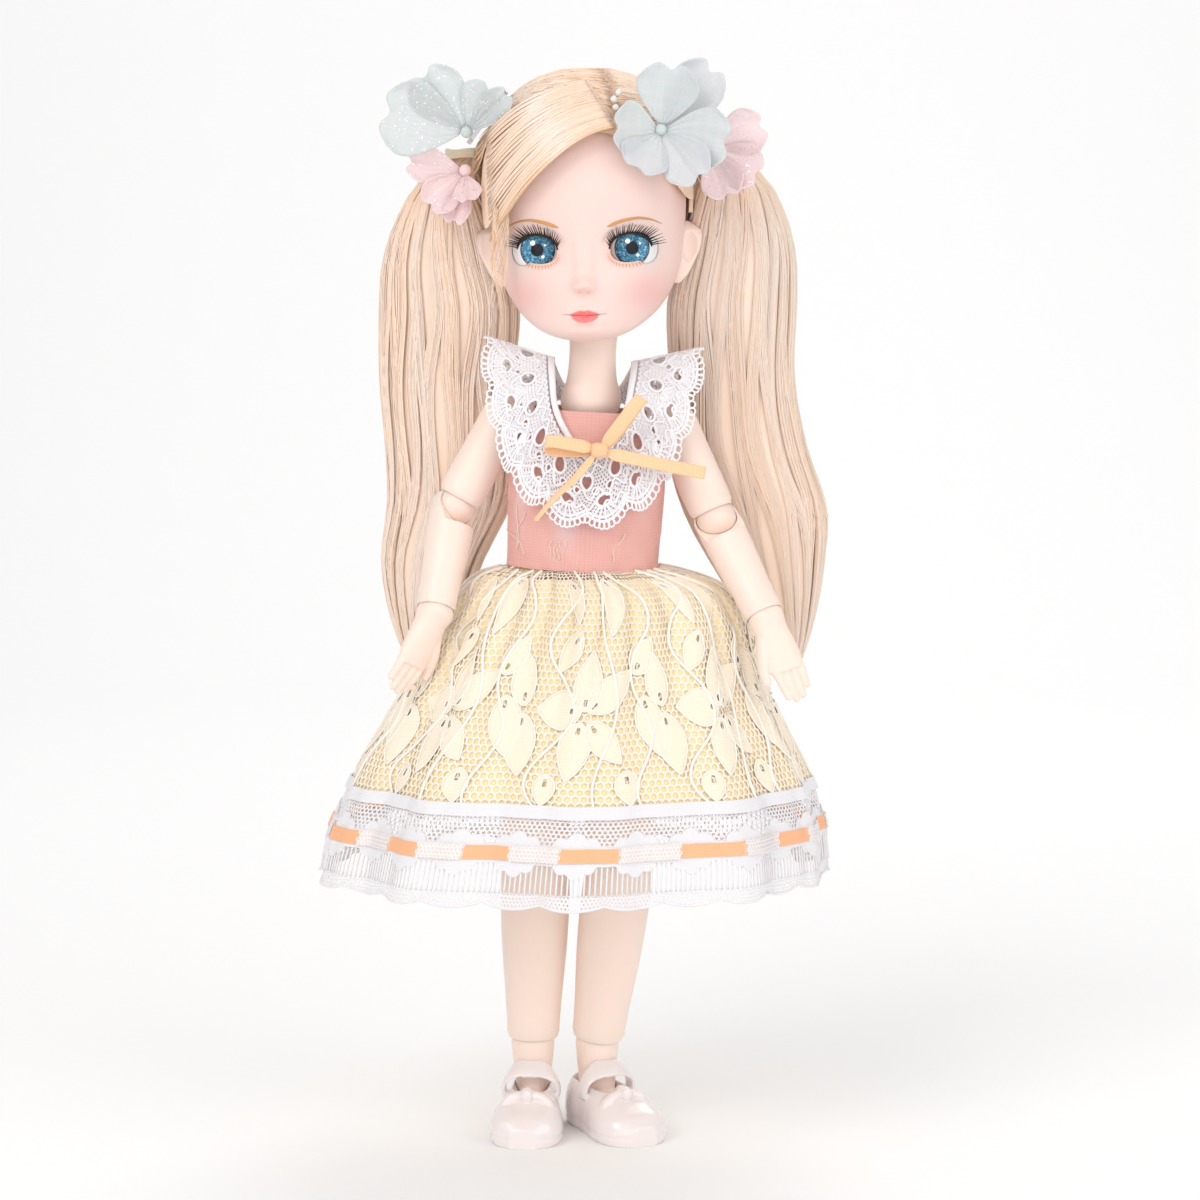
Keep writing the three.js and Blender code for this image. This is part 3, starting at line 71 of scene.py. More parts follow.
def turnFrom(up, across):
    # columns are the local x, y and z of a piece whose z is up and whose x is near across
    z = unit(up)
    x = unit(across - z * np.dot(across, z))
    return np.column_stack([x, np.cross(z, x), z])


def spin(axis, degrees):
    a = math.radians(degrees)
    c, s = math.cos(a), math.sin(a)
    return np.array({"x": [[1, 0, 0], [0, c, -s], [0, s, c]],
                     "y": [[c, 0, s], [0, 1, 0], [-s, 0, c]],
                     "z": [[c, -s, 0], [s, c, 0], [0, 0, 1]]}[axis])


def placed(points, turn, at):
    return np.asarray(points, float) @ np.asarray(turn).T + np.asarray(at)


def smoothStep(low, high, v):
    t = np.clip((np.asarray(v, float) - low) / (high - low), 0, 1)
    return t * t * (3 - 2 * t)


def bump(v, width):
    return np.exp(-((np.asarray(v, float) / width) ** 2))


def circle(steps):
    return np.arange(steps) / steps * 2 * np.pi


def squared(v, power):
    # a circle's sine or cosine bent towards a square, more so the higher the power is over 2
    return np.sign(v) * np.abs(v) ** (2 / power)


def softened(row, times):
    # the inner points of a row drawn towards their neighbours
    for _ in range(times):
        row[1:-1] = (row[:-2] + 2 * row[1:-1] + row[2:]) / 4
    return row


def readTable(table, heights):
    # rows are [height, value, ...]; returns the values at each height along smooth curves
    rows = np.array(sorted(table), float)
    key, values = rows[:, 0], rows[:, 1:]
    h = np.clip(np.asarray(heights, float), key[0], key[-1])
    last = len(rows) - 1
    slopes = np.empty_like(values)
    slopes[1:last] = (values[2:] - values[:-2]) / (key[2:] - key[:-2])[:, None]
    slopes[0] = (values[1] - values[0]) / (key[1] - key[0])
    slopes[last] = (values[last] - values[last - 1]) / (key[last] - key[last - 1])
    i = np.clip(np.searchsorted(key, h, side="right") - 1, 0, last - 1)
    span = (key[i + 1] - key[i])[..., None]
    t = (h - key[i])[..., None] / span
    t2, t3 = t * t, t * t * t
    return ((2 * t3 - 3 * t2 + 1) * values[i] + (t3 - 2 * t2 + t) * slopes[i] * span
            + (3 * t2 - 2 * t3) * values[i + 1] + (t3 - t2) * slopes[i + 1] * span)


# Mesh building
def shadeSmooth(thing):
    thing.data.polygons.foreach_set("use_smooth", np.ones(len(thing.data.polygons), bool))
    return thing


def shown(name, mesh):
    thing = bpy.data.objects.new(name, mesh)
    bpy.context.scene.collection.objects.link(thing)
    return shadeSmooth(thing)


def coords(mesh):
    co = np.empty(len(mesh.vertices) * 3)
    mesh.vertices.foreach_get("co", co)
    return co.reshape(-1, 3)


def meshObject(name, points, *faceSets):
    mesh = bpy.data.meshes.new(name)
    points = np.asarray(points, float).reshape(-1, 3) * mm
    faceSets = [np.asarray(faces, np.int64) for faces in faceSets if len(faces)]
    loops = np.concatenate([faces.ravel() for faces in faceSets])
    sizes = np.concatenate([np.full(len(faces), faces.shape[1]) for faces in faceSets])
    mesh.vertices.add(len(points))
    mesh.vertices.foreach_set("co", points.ravel())
    mesh.loops.add(len(loops))
    mesh.loops.foreach_set("vertex_index", loops.astype(np.int32))
    mesh.polygons.add(len(sizes))
    mesh.polygons.foreach_set("loop_start", np.concatenate([[0], np.cumsum(sizes)[:-1]]).astype(np.int32))
    mesh.update(calc_edges=True)
    mesh.validate()
    return shown(name, mesh)


def gridFaces(rows, columns, closed=False):
    # quads of a grid of points given row by row; closed joins the last column to the first
    r = np.arange(rows - 1)[:, None] * columns
    c = np.arange(columns if closed else columns - 1)[None, :]
    n = (c + 1) % columns
    return np.stack([r + c, r + n, r + columns + n, r + columns + c], -1).reshape(-1, 4)


def loft(name, rings):
    # rings is (rows, around, 3): a closed skin with a fan over each end
    rings = np.asarray(rings, float)
    rows, around = rings.shape[:2]
    points = np.concatenate([rings.reshape(-1, 3), [rings[0].mean(0)], [rings[-1].mean(0)]])
    i = np.arange(around)
    j = (i + 1) % around
    top, first, last = (rows - 1) * around, rows * around, rows * around + 1
    caps = np.concatenate([np.stack([np.full(around, first), j, i], -1),
                           np.stack([np.full(around, last), top + i, top + j], -1)])
    return faceOut(meshObject(name, points, gridFaces(rows, around, True), caps))


def faceOut(thing):
    # turns a closed mesh right side out
    mesh = thing.data
    mesh.calc_loop_triangles()
    tris = np.empty(len(mesh.loop_triangles) * 3, np.int32)
    mesh.loop_triangles.foreach_get("vertices", tris)
    co = coords(mesh)
    a, b, c = (co[tris[k::3]] for k in range(3))
    if np.einsum("ij,ij->i", a, np.cross(b, c)).sum() < 0:
        mesh.flip_normals()
    return thing


def ovals(rows, around=48, power=2.0):
    # rows are [z, half width, front, back] about the local z axis, or with a centre x and y as well
    rows = np.asarray(rows, float)
    angle = circle(around)
    depth = np.where(np.sin(angle) < 0, rows[:, 2:3], rows[:, 3:4])
    x = rows[:, 1:2] * squared(np.cos(angle), power)
    y = depth * squared(np.sin(angle), power)
    z = np.repeat(rows[:, :1], around, 1)
    if rows.shape[1] > 4:
        x, y = x + rows[:, 4:5], y + rows[:, 5:6]
    return np.stack([x, y, z], -1)


def tubes(paths, radii, around=5, flat=1.0):
    # closed tubes along many paths at once: paths is (tubes, steps, 3), radii (tubes, steps)
    paths = np.asarray(paths, float)
    count, steps = paths.shape[:2]
    radii = np.broadcast_to(np.asarray(radii, float), (count, steps))
    along = unit(np.gradient(paths, axis=1))
    guide = np.where(np.abs(along[..., 1:2]) < 0.9, [0, 1, 0], [1, 0, 0])
    side = unit(np.cross(along, guide))
    up = np.cross(side, along)
    angle = circle(around)
    ring = side[:, :, None] * np.cos(angle)[:, None] + up[:, :, None] * np.sin(angle)[:, None] * flat
    points = paths[:, :, None] + ring * radii[..., None, None]
    one = gridFaces(steps, around, True)
    base = (np.arange(count) * steps * around)[:, None, None]
    quads = (one[None] + base).reshape(-1, 4)
    i = np.arange(around)
    ends = np.stack([i[::-1], (steps - 1) * around + i])
    caps = (ends[None] + base).reshape(-1, around)
    return points.reshape(-1, 3), quads, caps


def tubeObject(name, paths, radii, around=5, flat=1.0):
    points, quads, caps = tubes(paths, radii, around, flat)
    return meshObject(name, points, quads, caps)


def thickSheet(name, points, thickness, closed=False):
    # points is (rows, columns, 3); the sheet gets its thickness evenly to both sides
    points = np.asarray(points, float)
    rows, columns = points.shape[:2]
    across = np.roll(points, -1, 1) - np.roll(points, 1, 1) if closed else np.gradient(points, axis=1)
    normal = unit(np.cross(across, np.gradient(points, axis=0)))
    outer, inner = points + normal * thickness / 2, points - normal * thickness / 2
    count = rows * columns
    front = gridFaces(rows, columns, closed)
    back = front[:, ::-1] + count
    place = np.arange(count).reshape(rows, columns)
    lines = [(place[0], False), (place[-1], True)]
    if closed:
        lines = [(np.append(line, line[0]), flip) for line, flip in lines]
    else:
        lines += [(place[:, 0], True), (place[:, -1], False)]
    edges = []
    for line, flip in lines:
        strip = np.stack([line[1:], line[:-1], line[:-1] + count, line[1:] + count], -1)
        edges.append(strip[:, ::-1] if flip else strip)
    both = np.concatenate([outer.reshape(-1, 3), inner.reshape(-1, 3)])
    return faceOut(meshObject(name, both, front, back, *edges))


def applyModifiers(thing):
    graph = bpy.context.evaluated_depsgraph_get()
    done = bpy.data.meshes.new_from_object(thing.evaluated_get(graph), depsgraph=graph)
    old = thing.data
    thing.modifiers.clear()
    thing.data = done
    bpy.data.meshes.remove(old)
    return thing


def moulded(name, parts, voxel=0.35, rounds=3):
    # parts melted into one soft-edged casting
    points, faces, base = [], [], 0
    for part in parts:
        points += [tuple(v.co) for v in part.data.vertices]
        faces += [[base + i for i in face.vertices] for face in part.data.polygons]
        base = len(points)
        bpy.data.objects.remove(part)
    mesh = bpy.data.meshes.new(name)
    mesh.from_pydata(points, [], faces)
    thing = shown(name, mesh)
    remesh = thing.modifiers.new("melt", "REMESH")
    remesh.mode, remesh.voxel_size = "VOXEL", voxel * mm
    smooth = thing.modifiers.new("soften", "SMOOTH")
    smooth.factor, smooth.iterations = 0.5, rounds
    return shadeSmooth(applyModifiers(thing))


def carve(thing, *cutters):
    for cutter in cutters:
        cutting = thing.modifiers.new("cut", "BOOLEAN")
        cutting.operation, cutting.solver, cutting.object = "DIFFERENCE", "EXACT", cutter
    applyModifiers(thing)
    for cutter in cutters:
        bpy.data.objects.remove(cutter)
    shadeSmooth(thing)
    thing.data.set_sharp_from_angle(angle=math.radians(35))
    return thing


def movePiece(thing, turn, at):
    moved = placed(coords(thing.data), turn, np.asarray(at) * mm)
    thing.data.vertices.foreach_set("co", moved.ravel())
    thing.data.update()
    return thing


def dress(thing, material, body, slot, *nodes):
    thing.data.materials.clear()
    thing.data.materials.append(material)
    if body:
        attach(thing, body)
    if nodes:
        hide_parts(*nodes)
    return thing


def paint(thing, name, values):
    # one value for each point; a shorter list repeats, as for the two faces of a thick sheet
    layer = thing.data.attributes.new(name, "FLOAT", "POINT")
    layer.data.foreach_set("value", np.resize(np.ravel(values), len(thing.data.vertices)).astype(np.float32))
    return thing


# Shader helpers
def addNode(tree, kind, inputs=None, **settings):
    made = tree.nodes.new("ShaderNode" + kind)
    for key, value in settings.items():
        setattr(made, key, value)
    for key, value in (inputs or {}).items():
        if isinstance(value, bpy.types.NodeSocket):
            tree.links.new(value, made.inputs[key])
        else:
            made.inputs[key].default_value = value
    return made


def rampNode(tree, factor, stops):
    made = addNode(tree, "ValToRGB", {0: factor})
    ramp = made.color_ramp
    while len(ramp.elements) < len(stops):
        ramp.elements.new(0.5)
    for element, (at, colour) in zip(ramp.elements, stops):
        element.position = at
        element.color = (*colour, 1)
    return made.outputs[0]


def mixColour(tree, factor, a, b):
    made = addNode(tree, "Mix", data_type="RGBA")
    for index, value in ((0, factor), (6, a), (7, b)):
        if isinstance(value, bpy.types.NodeSocket):
            tree.links.new(value, made.inputs[index])
        elif index:
            made.inputs[index].default_value = (*value, 1)
        else:
            made.inputs[index].default_value = value
    return made.outputs[2]


def mathNode(tree, operation, a, b=0.0, clamp=False):
    made = addNode(tree, "Math", {0: a, 1: b}, operation=operation, use_clamp=clamp)
    return made.outputs[0]


def times(tree, a, b, clamp=False):
    return mathNode(tree, "MULTIPLY", a, b, clamp)


def plus(tree, a, b):
    return mathNode(tree, "ADD", a, b)


def minus(tree, a, b):
    return mathNode(tree, "SUBTRACT", a, b)


def feed(tree, node, **sources):
    # links each source to the socket of its name; an underscore stands for a space
    for key, source in sources.items():
        tree.links.new(source, node.inputs[key.replace("_", " ")])


def painted(tree, name):
    return addNode(tree, "Attribute", attribute_name=name).outputs["Fac"]


def surfacePoint(tree):
    return addNode(tree, "TexCoord").outputs["Object"]


def noise(tree, scale, detail, point=None):
    if point is None:
        point = surfacePoint(tree)
    settings = {"Vector": point, "Scale": scale, "Detail": detail}
    return addNode(tree, "TexNoise", settings).outputs["Fac"]


def newGroup(name, inputs, outputs):
    tree = bpy.data.node_groups.new(name, "ShaderNodeTree")
    for label, kind, value in inputs:
        socket = tree.interface.new_socket(label, in_out="INPUT", socket_type="NodeSocket" + kind)
        socket.default_value = value
    for label, kind in outputs:
        tree.interface.new_socket(label, in_out="OUTPUT", socket_type="NodeSocket" + kind)
    return tree, tree.nodes.new("NodeGroupInput").outputs, tree.nodes.new("NodeGroupOutput")


def placeGroup(tree, group, inputs):
    return addNode(tree, "Group", inputs, node_tree=group).outputs


# Soft mottling of colour and sheen, as moulded or dyed things have
def makeMottle():
    inputs = [("Colour", "Color", (1, 1, 1, 1)), ("Tint", "Color", (1, 1, 1, 1)), ("Scale", "Float", 60.0),
              ("Amount", "Float", 0.3), ("Roughness", "Float", 0.5), ("Spread", "Float", 0.08)]
    tree, given, end = newGroup("mottle", inputs,
                                [("Colour", "Color"), ("Roughness", "Float"), ("Height", "Float")])
    point = surfacePoint(tree)
    broad = noise(tree, given["Scale"], 3.0, point)
    grain = noise(tree, times(tree, given["Scale"], 14.0), 4.0, point)
    share = times(tree, broad, given["Amount"])
    swing = times(tree, minus(tree, grain, 0.5), given["Spread"])
    feed(tree, end, Colour=mixColour(tree, share, given["Colour"], given["Tint"]),
         Roughness=plus(tree, given["Roughness"], swing), Height=grain)
    return tree


# Crossing threads; the two directions are given as the coordinate that runs across each of them
def makeWeave():
    inputs = [("Across", "Float", 0.0), ("Along", "Float", 0.0), ("Threads", "Float", 3000.0),
              ("Colour", "Color", (1, 1, 1, 1)), ("Shade", "Color", (0.5, 0.5, 0.5, 1)),
              ("Depth", "Float", 0.5)]
    tree, given, end = newGroup("weave", inputs, [("Colour", "Color"), ("Height", "Float")])
    waves = []
    for name in ("Across", "Along"):
        turned = times(tree, given[name], given["Threads"])
        waves.append(mathNode(tree, "ABSOLUTE", mathNode(tree, "SINE", turned)))
    slub = plus(tree, noise(tree, 900.0, 3.0), 0.4)
    level = times(tree, times(tree, *waves), slub, clamp=True)
    share = times(tree, minus(tree, 1.0, level), given["Depth"], clamp=True)
    feed(tree, end, Colour=mixColour(tree, share, given["Colour"], given["Shade"]), Height=level)
    return tree


# Scattered bright specks
def makeGlitter():
    tree, given, end = newGroup("glitter", [("Scale", "Float", 1500.0), ("Share", "Float", 0.1)],
                                [("Mask", "Float"), ("Colour", "Color")])
    cells = addNode(tree, "TexVoronoi", {"Vector": surfacePoint(tree), "Scale": given["Scale"]})
    near = mathNode(tree, "LESS_THAN", cells.outputs["Distance"], 0.32)
    parts = addNode(tree, "SeparateColor", {0: cells.outputs["Color"]})
    chosen = mathNode(tree, "LESS_THAN", parts.outputs[0], given["Share"])
    feed(tree, end, Mask=times(tree, near, chosen),
         Colour=mixColour(tree, 0.35, (1, 1, 1), cells.outputs["Color"]))
    return tree


mottle, weave, glitter = makeMottle(), makeWeave(), makeGlitter()


def newMaterial(name, **sockets):
    material = bpy.data.materials.new(name)
    material.use_nodes = True
    tree = material.node_tree
    shader = tree.nodes["Principled BSDF"]
    for key, value in sockets.items():
        shader.inputs[key.replace("_", " ")].default_value = value
    return material, tree, shader


def setBump(tree, shader, height, strength, distance=0.02):
    settings = {"Height": height, "Strength": strength, "Distance": distance * mm}
    feed(tree, shader, Normal=addNode(tree, "Bump", settings).outputs[0])


def vinyl(name, colour, tint, roughness, spread=0.1, scale=60.0, amount=0.35, strength=0.25, **sockets):
    material, tree, shader = newMaterial(name, **sockets)
    skin = placeGroup(tree, mottle, {"Colour": (*colour, 1), "Tint": (*tint, 1), "Scale": scale,
                                     "Amount": amount, "Roughness": roughness, "Spread": spread})
    feed(tree, shader, Base_Color=skin["Colour"], Roughness=skin["Roughness"])
    setBump(tree, shader, skin["Height"], strength)
    return material


softSkin = dict(Subsurface_Weight=0.22, Subsurface_Radius=(1.0, 0.38, 0.2), Subsurface_Scale=0.004)
skinVinyl = vinyl("skinVinyl", (0.97, 0.79, 0.70), (0.96, 0.72, 0.60), 0.42, **softSkin)
jointVinyl = vinyl("jointVinyl", (0.95, 0.76, 0.66), (0.93, 0.68, 0.56), 0.36, **softSkin)
shoeVinyl = vinyl("shoeVinyl", (0.88, 0.81, 0.80), (0.90, 0.78, 0.77), 0.24, 0.06, 90.0, strength=0.06,
                  Coat_Weight=0.6, Coat_Roughness=0.06, Subsurface_Weight=0.12,
                  Subsurface_Radius=(1.0, 0.7, 0.6), Subsurface_Scale=0.003)
clipSteel = vinyl("clipSteel", (0.62, 0.62, 0.64), (0.5, 0.5, 0.53), 0.28, 0.15, 120.0, Metallic=0.95)
tieElastic = vinyl("tieElastic", (0.86, 0.76, 0.58), (0.78, 0.66, 0.48), 0.7, 0.2, 300.0, strength=0.8)
print("materials made")


# Camera, light and floor
view = {"target": (7.8, 0.0, 150.0), "from": (7.8, -1150.0, 287.0), "lens": 125.07, "sensor": 36}
backdrop = {"span": 1.6, "back": 1.2, "height": 1.3, "curve": 0.35, "colour": (0.95, 0.95, 0.955, 1)}
lamps = {"key": ((-0.7, -1.0, 1.1), 0.9, 8.2, (1.0, 0.98, 0.96)),    # place, size, power, colour
         "fill": ((1.0, -0.9, 0.7), 1.1, 5.4, (1.0, 0.98, 0.98)),
         "front": ((0.0, -1.6, 0.35), 1.2, 3.4, (1.0, 1.0, 1.0)),
         "rim": ((0.2, 0.8, 1.0), 0.7, 3.6, (1.0, 0.98, 0.95))}
lampTarget, skyLight = (0.0, 0.0, 0.16), 0.58


def setCamera():
    camera = bpy.data.objects.new("camera", bpy.data.cameras.new("camera"))
    bpy.context.scene.collection.objects.link(camera)
    start, target = np.array(view["from"]), np.array(view["target"])
    look = turnFrom(start - target, np.cross(unit(target - start), [0, 0, 1]))
    camera.location = start * mm
    camera.rotation_euler = Matrix(look.tolist()).to_euler()
    camera.data.lens, camera.data.sensor_width = view["lens"], view["sensor"]
    camera.data.clip_start, camera.data.clip_end = 0.05, 20
    bpy.context.scene.camera = camera


def setFloor():
    # a sheet of paper that curves up behind; the camera can go all the way round inside it
    span, back, curve = backdrop["span"], backdrop["back"], backdrop["curve"]
    profile = [(-span, 0.0), (back - curve, 0.0)]
    for a in np.linspace(0.1, math.pi / 2, 12):
        profile.append((back - curve + curve * math.sin(a), curve - curve * math.cos(a)))
    profile.append((back, backdrop["height"]))
    points = np.array([[(x, y, z) for x in (-span, span)] for y, z in profile]) / mm
    floor = meshObject("floor", points, gridFaces(len(profile), 2))
    material, _, shader = newMaterial("floorPaper", Roughness=0.9)
    shader.inputs["Base Color"].default_value = backdrop["colour"]
    floor.data.materials.append(material)


def setLight():
    for name, (place, size, power, colour) in lamps.items():
        data = bpy.data.lights.new(name, "AREA")
        data.energy, data.size, data.color = power, size, colour
        lamp = bpy.data.objects.new(name, data)
        lamp.location = place
        aim = np.array(place) - np.array(lampTarget)
        lamp.rotation_euler = (math.atan2(math.hypot(aim[0], aim[1]), aim[2]), 0, math.atan2(aim[0], -aim[1]))
        bpy.context.scene.collection.objects.link(lamp)
    world = bpy.data.worlds.new("studio")
    world.use_nodes = True
    world.node_tree.nodes["Background"].inputs[0].default_value = (1.0, 1.0, 1.0, 1)
    world.node_tree.nodes["Background"].inputs[1].default_value = skyLight
    bpy.context.scene.world = world
    bpy.context.scene.view_settings.view_transform = "Standard"


setCamera()
setFloor()
setLight()
print("stage set")


# Limbs. Each is a round shaft that ends in a dome or in a cup round the next ball.
play, neckBall = 0.25, 7.5
arm = {"upper": 28.0, "lower": 32.0, "dome": 6.4, "ball": 5.5, "rim": 2.6, "rimRadius": 5.7, "girth": 6.3,
       "tip": 5.0, "fold": -1, "pegRadius": 2.0, "peg": 13.0, "sway": 0.0,
       "upperShape": [[0, 6.4, 6.4, 6.4], [-8, 6.3, 6.3, 6.3], [-17, 6.4, 6.4, 6.3], [-23.9, 6.3, 6.3, 6.3]],
       "lowerShape": [[0.8, 6.3, 6.3, 6.3], [-5, 6.4, 6.4, 6.4], [-12, 6.2, 6.1, 6.2], [-22, 5.6, 5.5, 5.6],
                      [-29.9, 5.45, 5.35, 5.35], [-30.5, 5.3, 5.2, 5.2]]}
leg = {"upper": 54.9, "lower": 54.9, "dome": 9.8, "ball": 7.8, "rim": 3.4, "rimRadius": 8.4, "girth": 9.4,
       "tip": 6.1, "fold": 1, "pegRadius": 2.6, "peg": 19.0, "sway": 1.3,
       "upperShape": [[0, 9.8, 9.8, 9.8], [-14, 10.0, 10.2, 10.2], [-30, 9.8, 10.0, 10.0],
                      [-50, 9.4, 9.4, 9.4]],
       "lowerShape": [[0.3, 9.4, 9.4, 9.4], [-6, 9.5, 9.3, 9.7], [-15, 9.6, 9.1, 10.3], [-27, 9.1, 8.5, 9.8],
                      [-41, 8.0, 7.5, 8.2], [-49.2, 7.45, 7.15, 7.3], [-51.6, 7.4, 7.1, 7.25],
                      [-52.9, 6.9, 6.6, 6.8]]}


def domeRows(radius):
    return [[radius * math.cos(a)] + [radius * math.sin(a)] * 3 for a in np.radians(np.linspace(2, 84, 12))]


def cupRows(centre, radius, edge, upward, steps=9):
    # from the cup's edge to its deepest point
    turn = math.acos(np.clip(upward * (edge - centre) / radius, -1, 1))
    return [[centre + upward * radius * math.cos(a)] + [radius * math.sin(a)] * 3
            for a in np.linspace(turn, 0.03, steps)]


def shaftRows(table, steps=36):
    heights = np.linspace(table[0][0], table[-1][0], steps)
    return np.column_stack([heights, readTable(table, heights)]).tolist()


def lipRows(edge, radius, inner, upward):
    # the rounded end face between the outside and a cup
    half = (radius - inner) / 2
    return [[edge + upward * half * 0.5 * math.sin(a)] + [inner + half + half * math.cos(a)] * 3
            for a in np.linspace(0.2, math.pi - 0.2, 6)]


def upperLimb(name, size):
    length, rim, cup = size["upper"], size["rim"], size["ball"] + play
    edge = -length + rim
    rows = domeRows(size["dome"]) + shaftRows(size["upperShape"])
    rows += lipRows(edge, size["rimRadius"], math.sqrt(cup ** 2 - rim ** 2), -1)
    rows += cupRows(-length, cup, edge, 1)[1:]
    return loft(name, ovals(rows))


def lowerLimb(name, size):
    length, cup, tipCup = size["lower"], size["ball"] + play, size["tip"] + play
    edge = size["rim"] - play - size["sway"]
    rows = cupRows(0, cup, edge, -1)[::-1][:-1]
    rows += lipRows(edge, size["rimRadius"], math.sqrt(cup ** 2 - edge ** 2), 1)[::-1]
    rows += shaftRows(size["lowerShape"])
    low = size["lowerShape"][-1][0]
    rows += [[low - 0.1] + [math.sqrt(tipCup ** 2 - (low + length) ** 2) + 0.12] * 3]
    rows += cupRows(-length, tipCup, low - 0.05, 1)[1:]
    limb = loft(name, ovals(rows))
    corner = 1 + play / math.hypot(size["rim"], size["rimRadius"])
    notch = [(0, 30), (0, 0), (-size["rim"] * corner, -size["rimRadius"] * corner),
             (-size["rim"] - 1.5, -size["girth"] - play), (-30, -size["girth"] - play), (-30, 30)]
    sign = -size["fold"]
    outline = [(sign * y, z) for y, z in notch]
    return carve(limb, prism("notch", outline, 40))


def prism(name, outline, width):
    # a flat outline in y and z, as wide as given along x
    a = np.array([[-width / 2, y, z] for y, z in outline])
    return loft(name, np.stack([a, a + [width, 0, 0]]))


def ballOnPeg(name, size):
    radius, pegRadius, pegLength = size["ball"], size["pegRadius"], size["peg"]
    start = math.asin(pegRadius / radius)
    rows = [[-radius * math.cos(a)] + [radius * math.sin(a) * (1 - 0.006 * bump(math.degrees(a) - 90, 2))] * 3
            for a in np.linspace(0.03, math.pi - start, 26)]
    rows += [[pegLength - 0.4, *[pegRadius] * 3], [pegLength, *[pegRadius - 0.4] * 3]]
    return loft(name, ovals(rows, 40))


def finger(name, points, start, end, around=14):
    # a round-ended tapered finger along a few points
    points = np.array(points, float)
    t = np.linspace(0, 1, 22)
    knots = np.linspace(0, 1, len(points))
    path = softened(np.stack([np.interp(t, knots, points[:, k]) for k in range(3)], -1), 3)
    length = np.linalg.norm(path[-1] - path[0])
    left = (1 - t) * length
    radius = (start + (end - start) * t) * np.sqrt(np.clip(1 - ((end - left) / end).clip(0) ** 2, 0.02, 1))
    return tubeObject(name, path[None], radius[None], around)


handShape = {"palm": [[0, 5.0, 4.75, 4.75], [-4, 4.7, 3.4, 3.6], [-8, 5.1, 2.8, 3.1], [-12.5, 5.2, 2.3, 2.7],
                      [-15.5, 4.7, 1.8, 2.1]],
             "knuckles": [-3.7, -1.25, 1.2, 3.5], "lengths": [7.6, 9.9, 10.4, 9.2], "finger": (1.38, 0.95),
             "thumb": [[3.0, -0.2, -5.0], [5.6, -0.4, -11.0], [6.6, 0.2, -14.0], [6.9, 0.8, -17.8]]}
handTurns = {"right": (-4, 22), "left": (6, 10)}


def hand(name, side):
    rows = domeRows(arm["tip"]) + shaftRows(handShape["palm"], 14)
    parts = [loft("palm", ovals(rows, 32, 2.2))]
    for x, length in zip(handShape["knuckles"], handShape["lengths"]):
        lean = -0.16 * x - 0.62
        bones = [[x * side, 0.0, -11.5], [(x + lean * 0.3) * side, 0.1, -14 - length * 0.42],
                 [(x + lean) * side, 1.5, -14 - length]]
        parts.append(finger("finger", bones, *handShape["finger"]))
    parts.append(finger("thumb", [[x * side, y, z] for x, y, z in handShape["thumb"]], 2.1, 1.1))
    return moulded(name, parts, 0.27, 4)


footRows = [[6.0, 3.6, 5.0], [-5.0, 6.3, 9.4], [-12.0, 7.2, 7.4], [-20.5, 7.4, 5.2], [-24.5, 4.2, 3.2]]
ankleHeight = 24.0


def foot(name):
    ankle = [[-5, 5.6, 6.0, 6.2], [-10, 5.0, 6.0, 6.2], [-20, 4.8, 6.0, 6.2]]
    rows = domeRows(leg["tip"]) + shaftRows([[0, leg["tip"], leg["tip"], leg["tip"]], *ankle], 16)
    y = np.linspace(6.0, -24.5, 24)
    shape = readTable([[-k[0], *k[1:]] for k in footRows], -y)
    angle = circle(24)
    up = np.where(np.sin(angle) > 0, shape[:, 1:2], 0.6)
    z = -ankleHeight + 2.8 + up * squared(np.sin(angle), 2.5)
    sole = np.stack([shape[:, :1] * np.cos(angle), np.repeat(y[:, None], 24, 1), z], -1)
    return moulded(name, [loft("ankle", ovals(rows, 24)), loft("sole", sole)], 0.4, 3)


# A one-bar shoe, moulded in one with its sole, bar and bow
shoeRows = [[-10.6, 3.0, 10.5], [-8.8, 5.6, 13.6], [-4.0, 7.1, 14.6], [3.0, 7.7, 14.2], [9.0, 8.8, 13.2],
            [15.5, 10.1, 11.6], [21.0, 10.1, 9.8], [25.5, 8.0, 8.0], [28.2, 4.0, 5.4]]
shoeShape = {"throat": [(7.2, 5.2, 9.6), (4, 6.0, 9.6), (0, 6.4, 9.6), (-4, 6.7, 9.6), (-8, 6.8, 9.6),
                        (-10.8, 6.2, 8.6), (-12.6, 4.8, 7.4)],
             "bar": [(3.4, 0.1), (3.4, 0.9), (1.8, 1.25), (-1.8, 1.25), (-3.2, 0.9), (-3.2, 0.1),
                     (-1.5, -0.1), (1.5, -0.1)],
             "wing": [(0.3, 1.5, 1.2), (2.4, 2.2, 1.7), (4.8, 2.8, 2.0), (6.8, 2.8, 1.7), (8.0, 2.0, 0.9)],
             "knot": [(-1, 0.3), (-0.9, 0.8), (-0.3, 1.0), (0.3, 1.0), (0.9, 0.8), (1, 0.3)],
             "bowAt": -15.6}


def shoeShell(grown, floorZ):
    forward = np.concatenate([np.linspace(-10.6, -8, 7), np.linspace(-7, 24, 26), np.linspace(24.5, 28.2, 8)])
    shape = readTable(shoeRows, forward)
    angle = (np.arange(48) + 0.5) / 48 * 2 * np.pi
    sine = np.sin(angle)
    half = shape[:, :1] + grown
    x = half * np.sign(np.cos(angle)) * np.abs(np.cos(angle)) ** 0.6
    above = floorZ + (shape[:, 1:2] + grown - floorZ) * np.abs(sine) ** 0.85
    below = floorZ + (floorZ + min(grown, 0)) * np.clip(sine * 1.8, -1, 0)
    z = np.where(sine > 0, above, below)
    welt = 0.35 * bump(z - 2.6, 0.5)
    x = x - np.sign(x) * welt * (grown == 0)
    y = -forward[:, None] + 0 * x
    return np.stack([x, y, z - ankleHeight], -1)


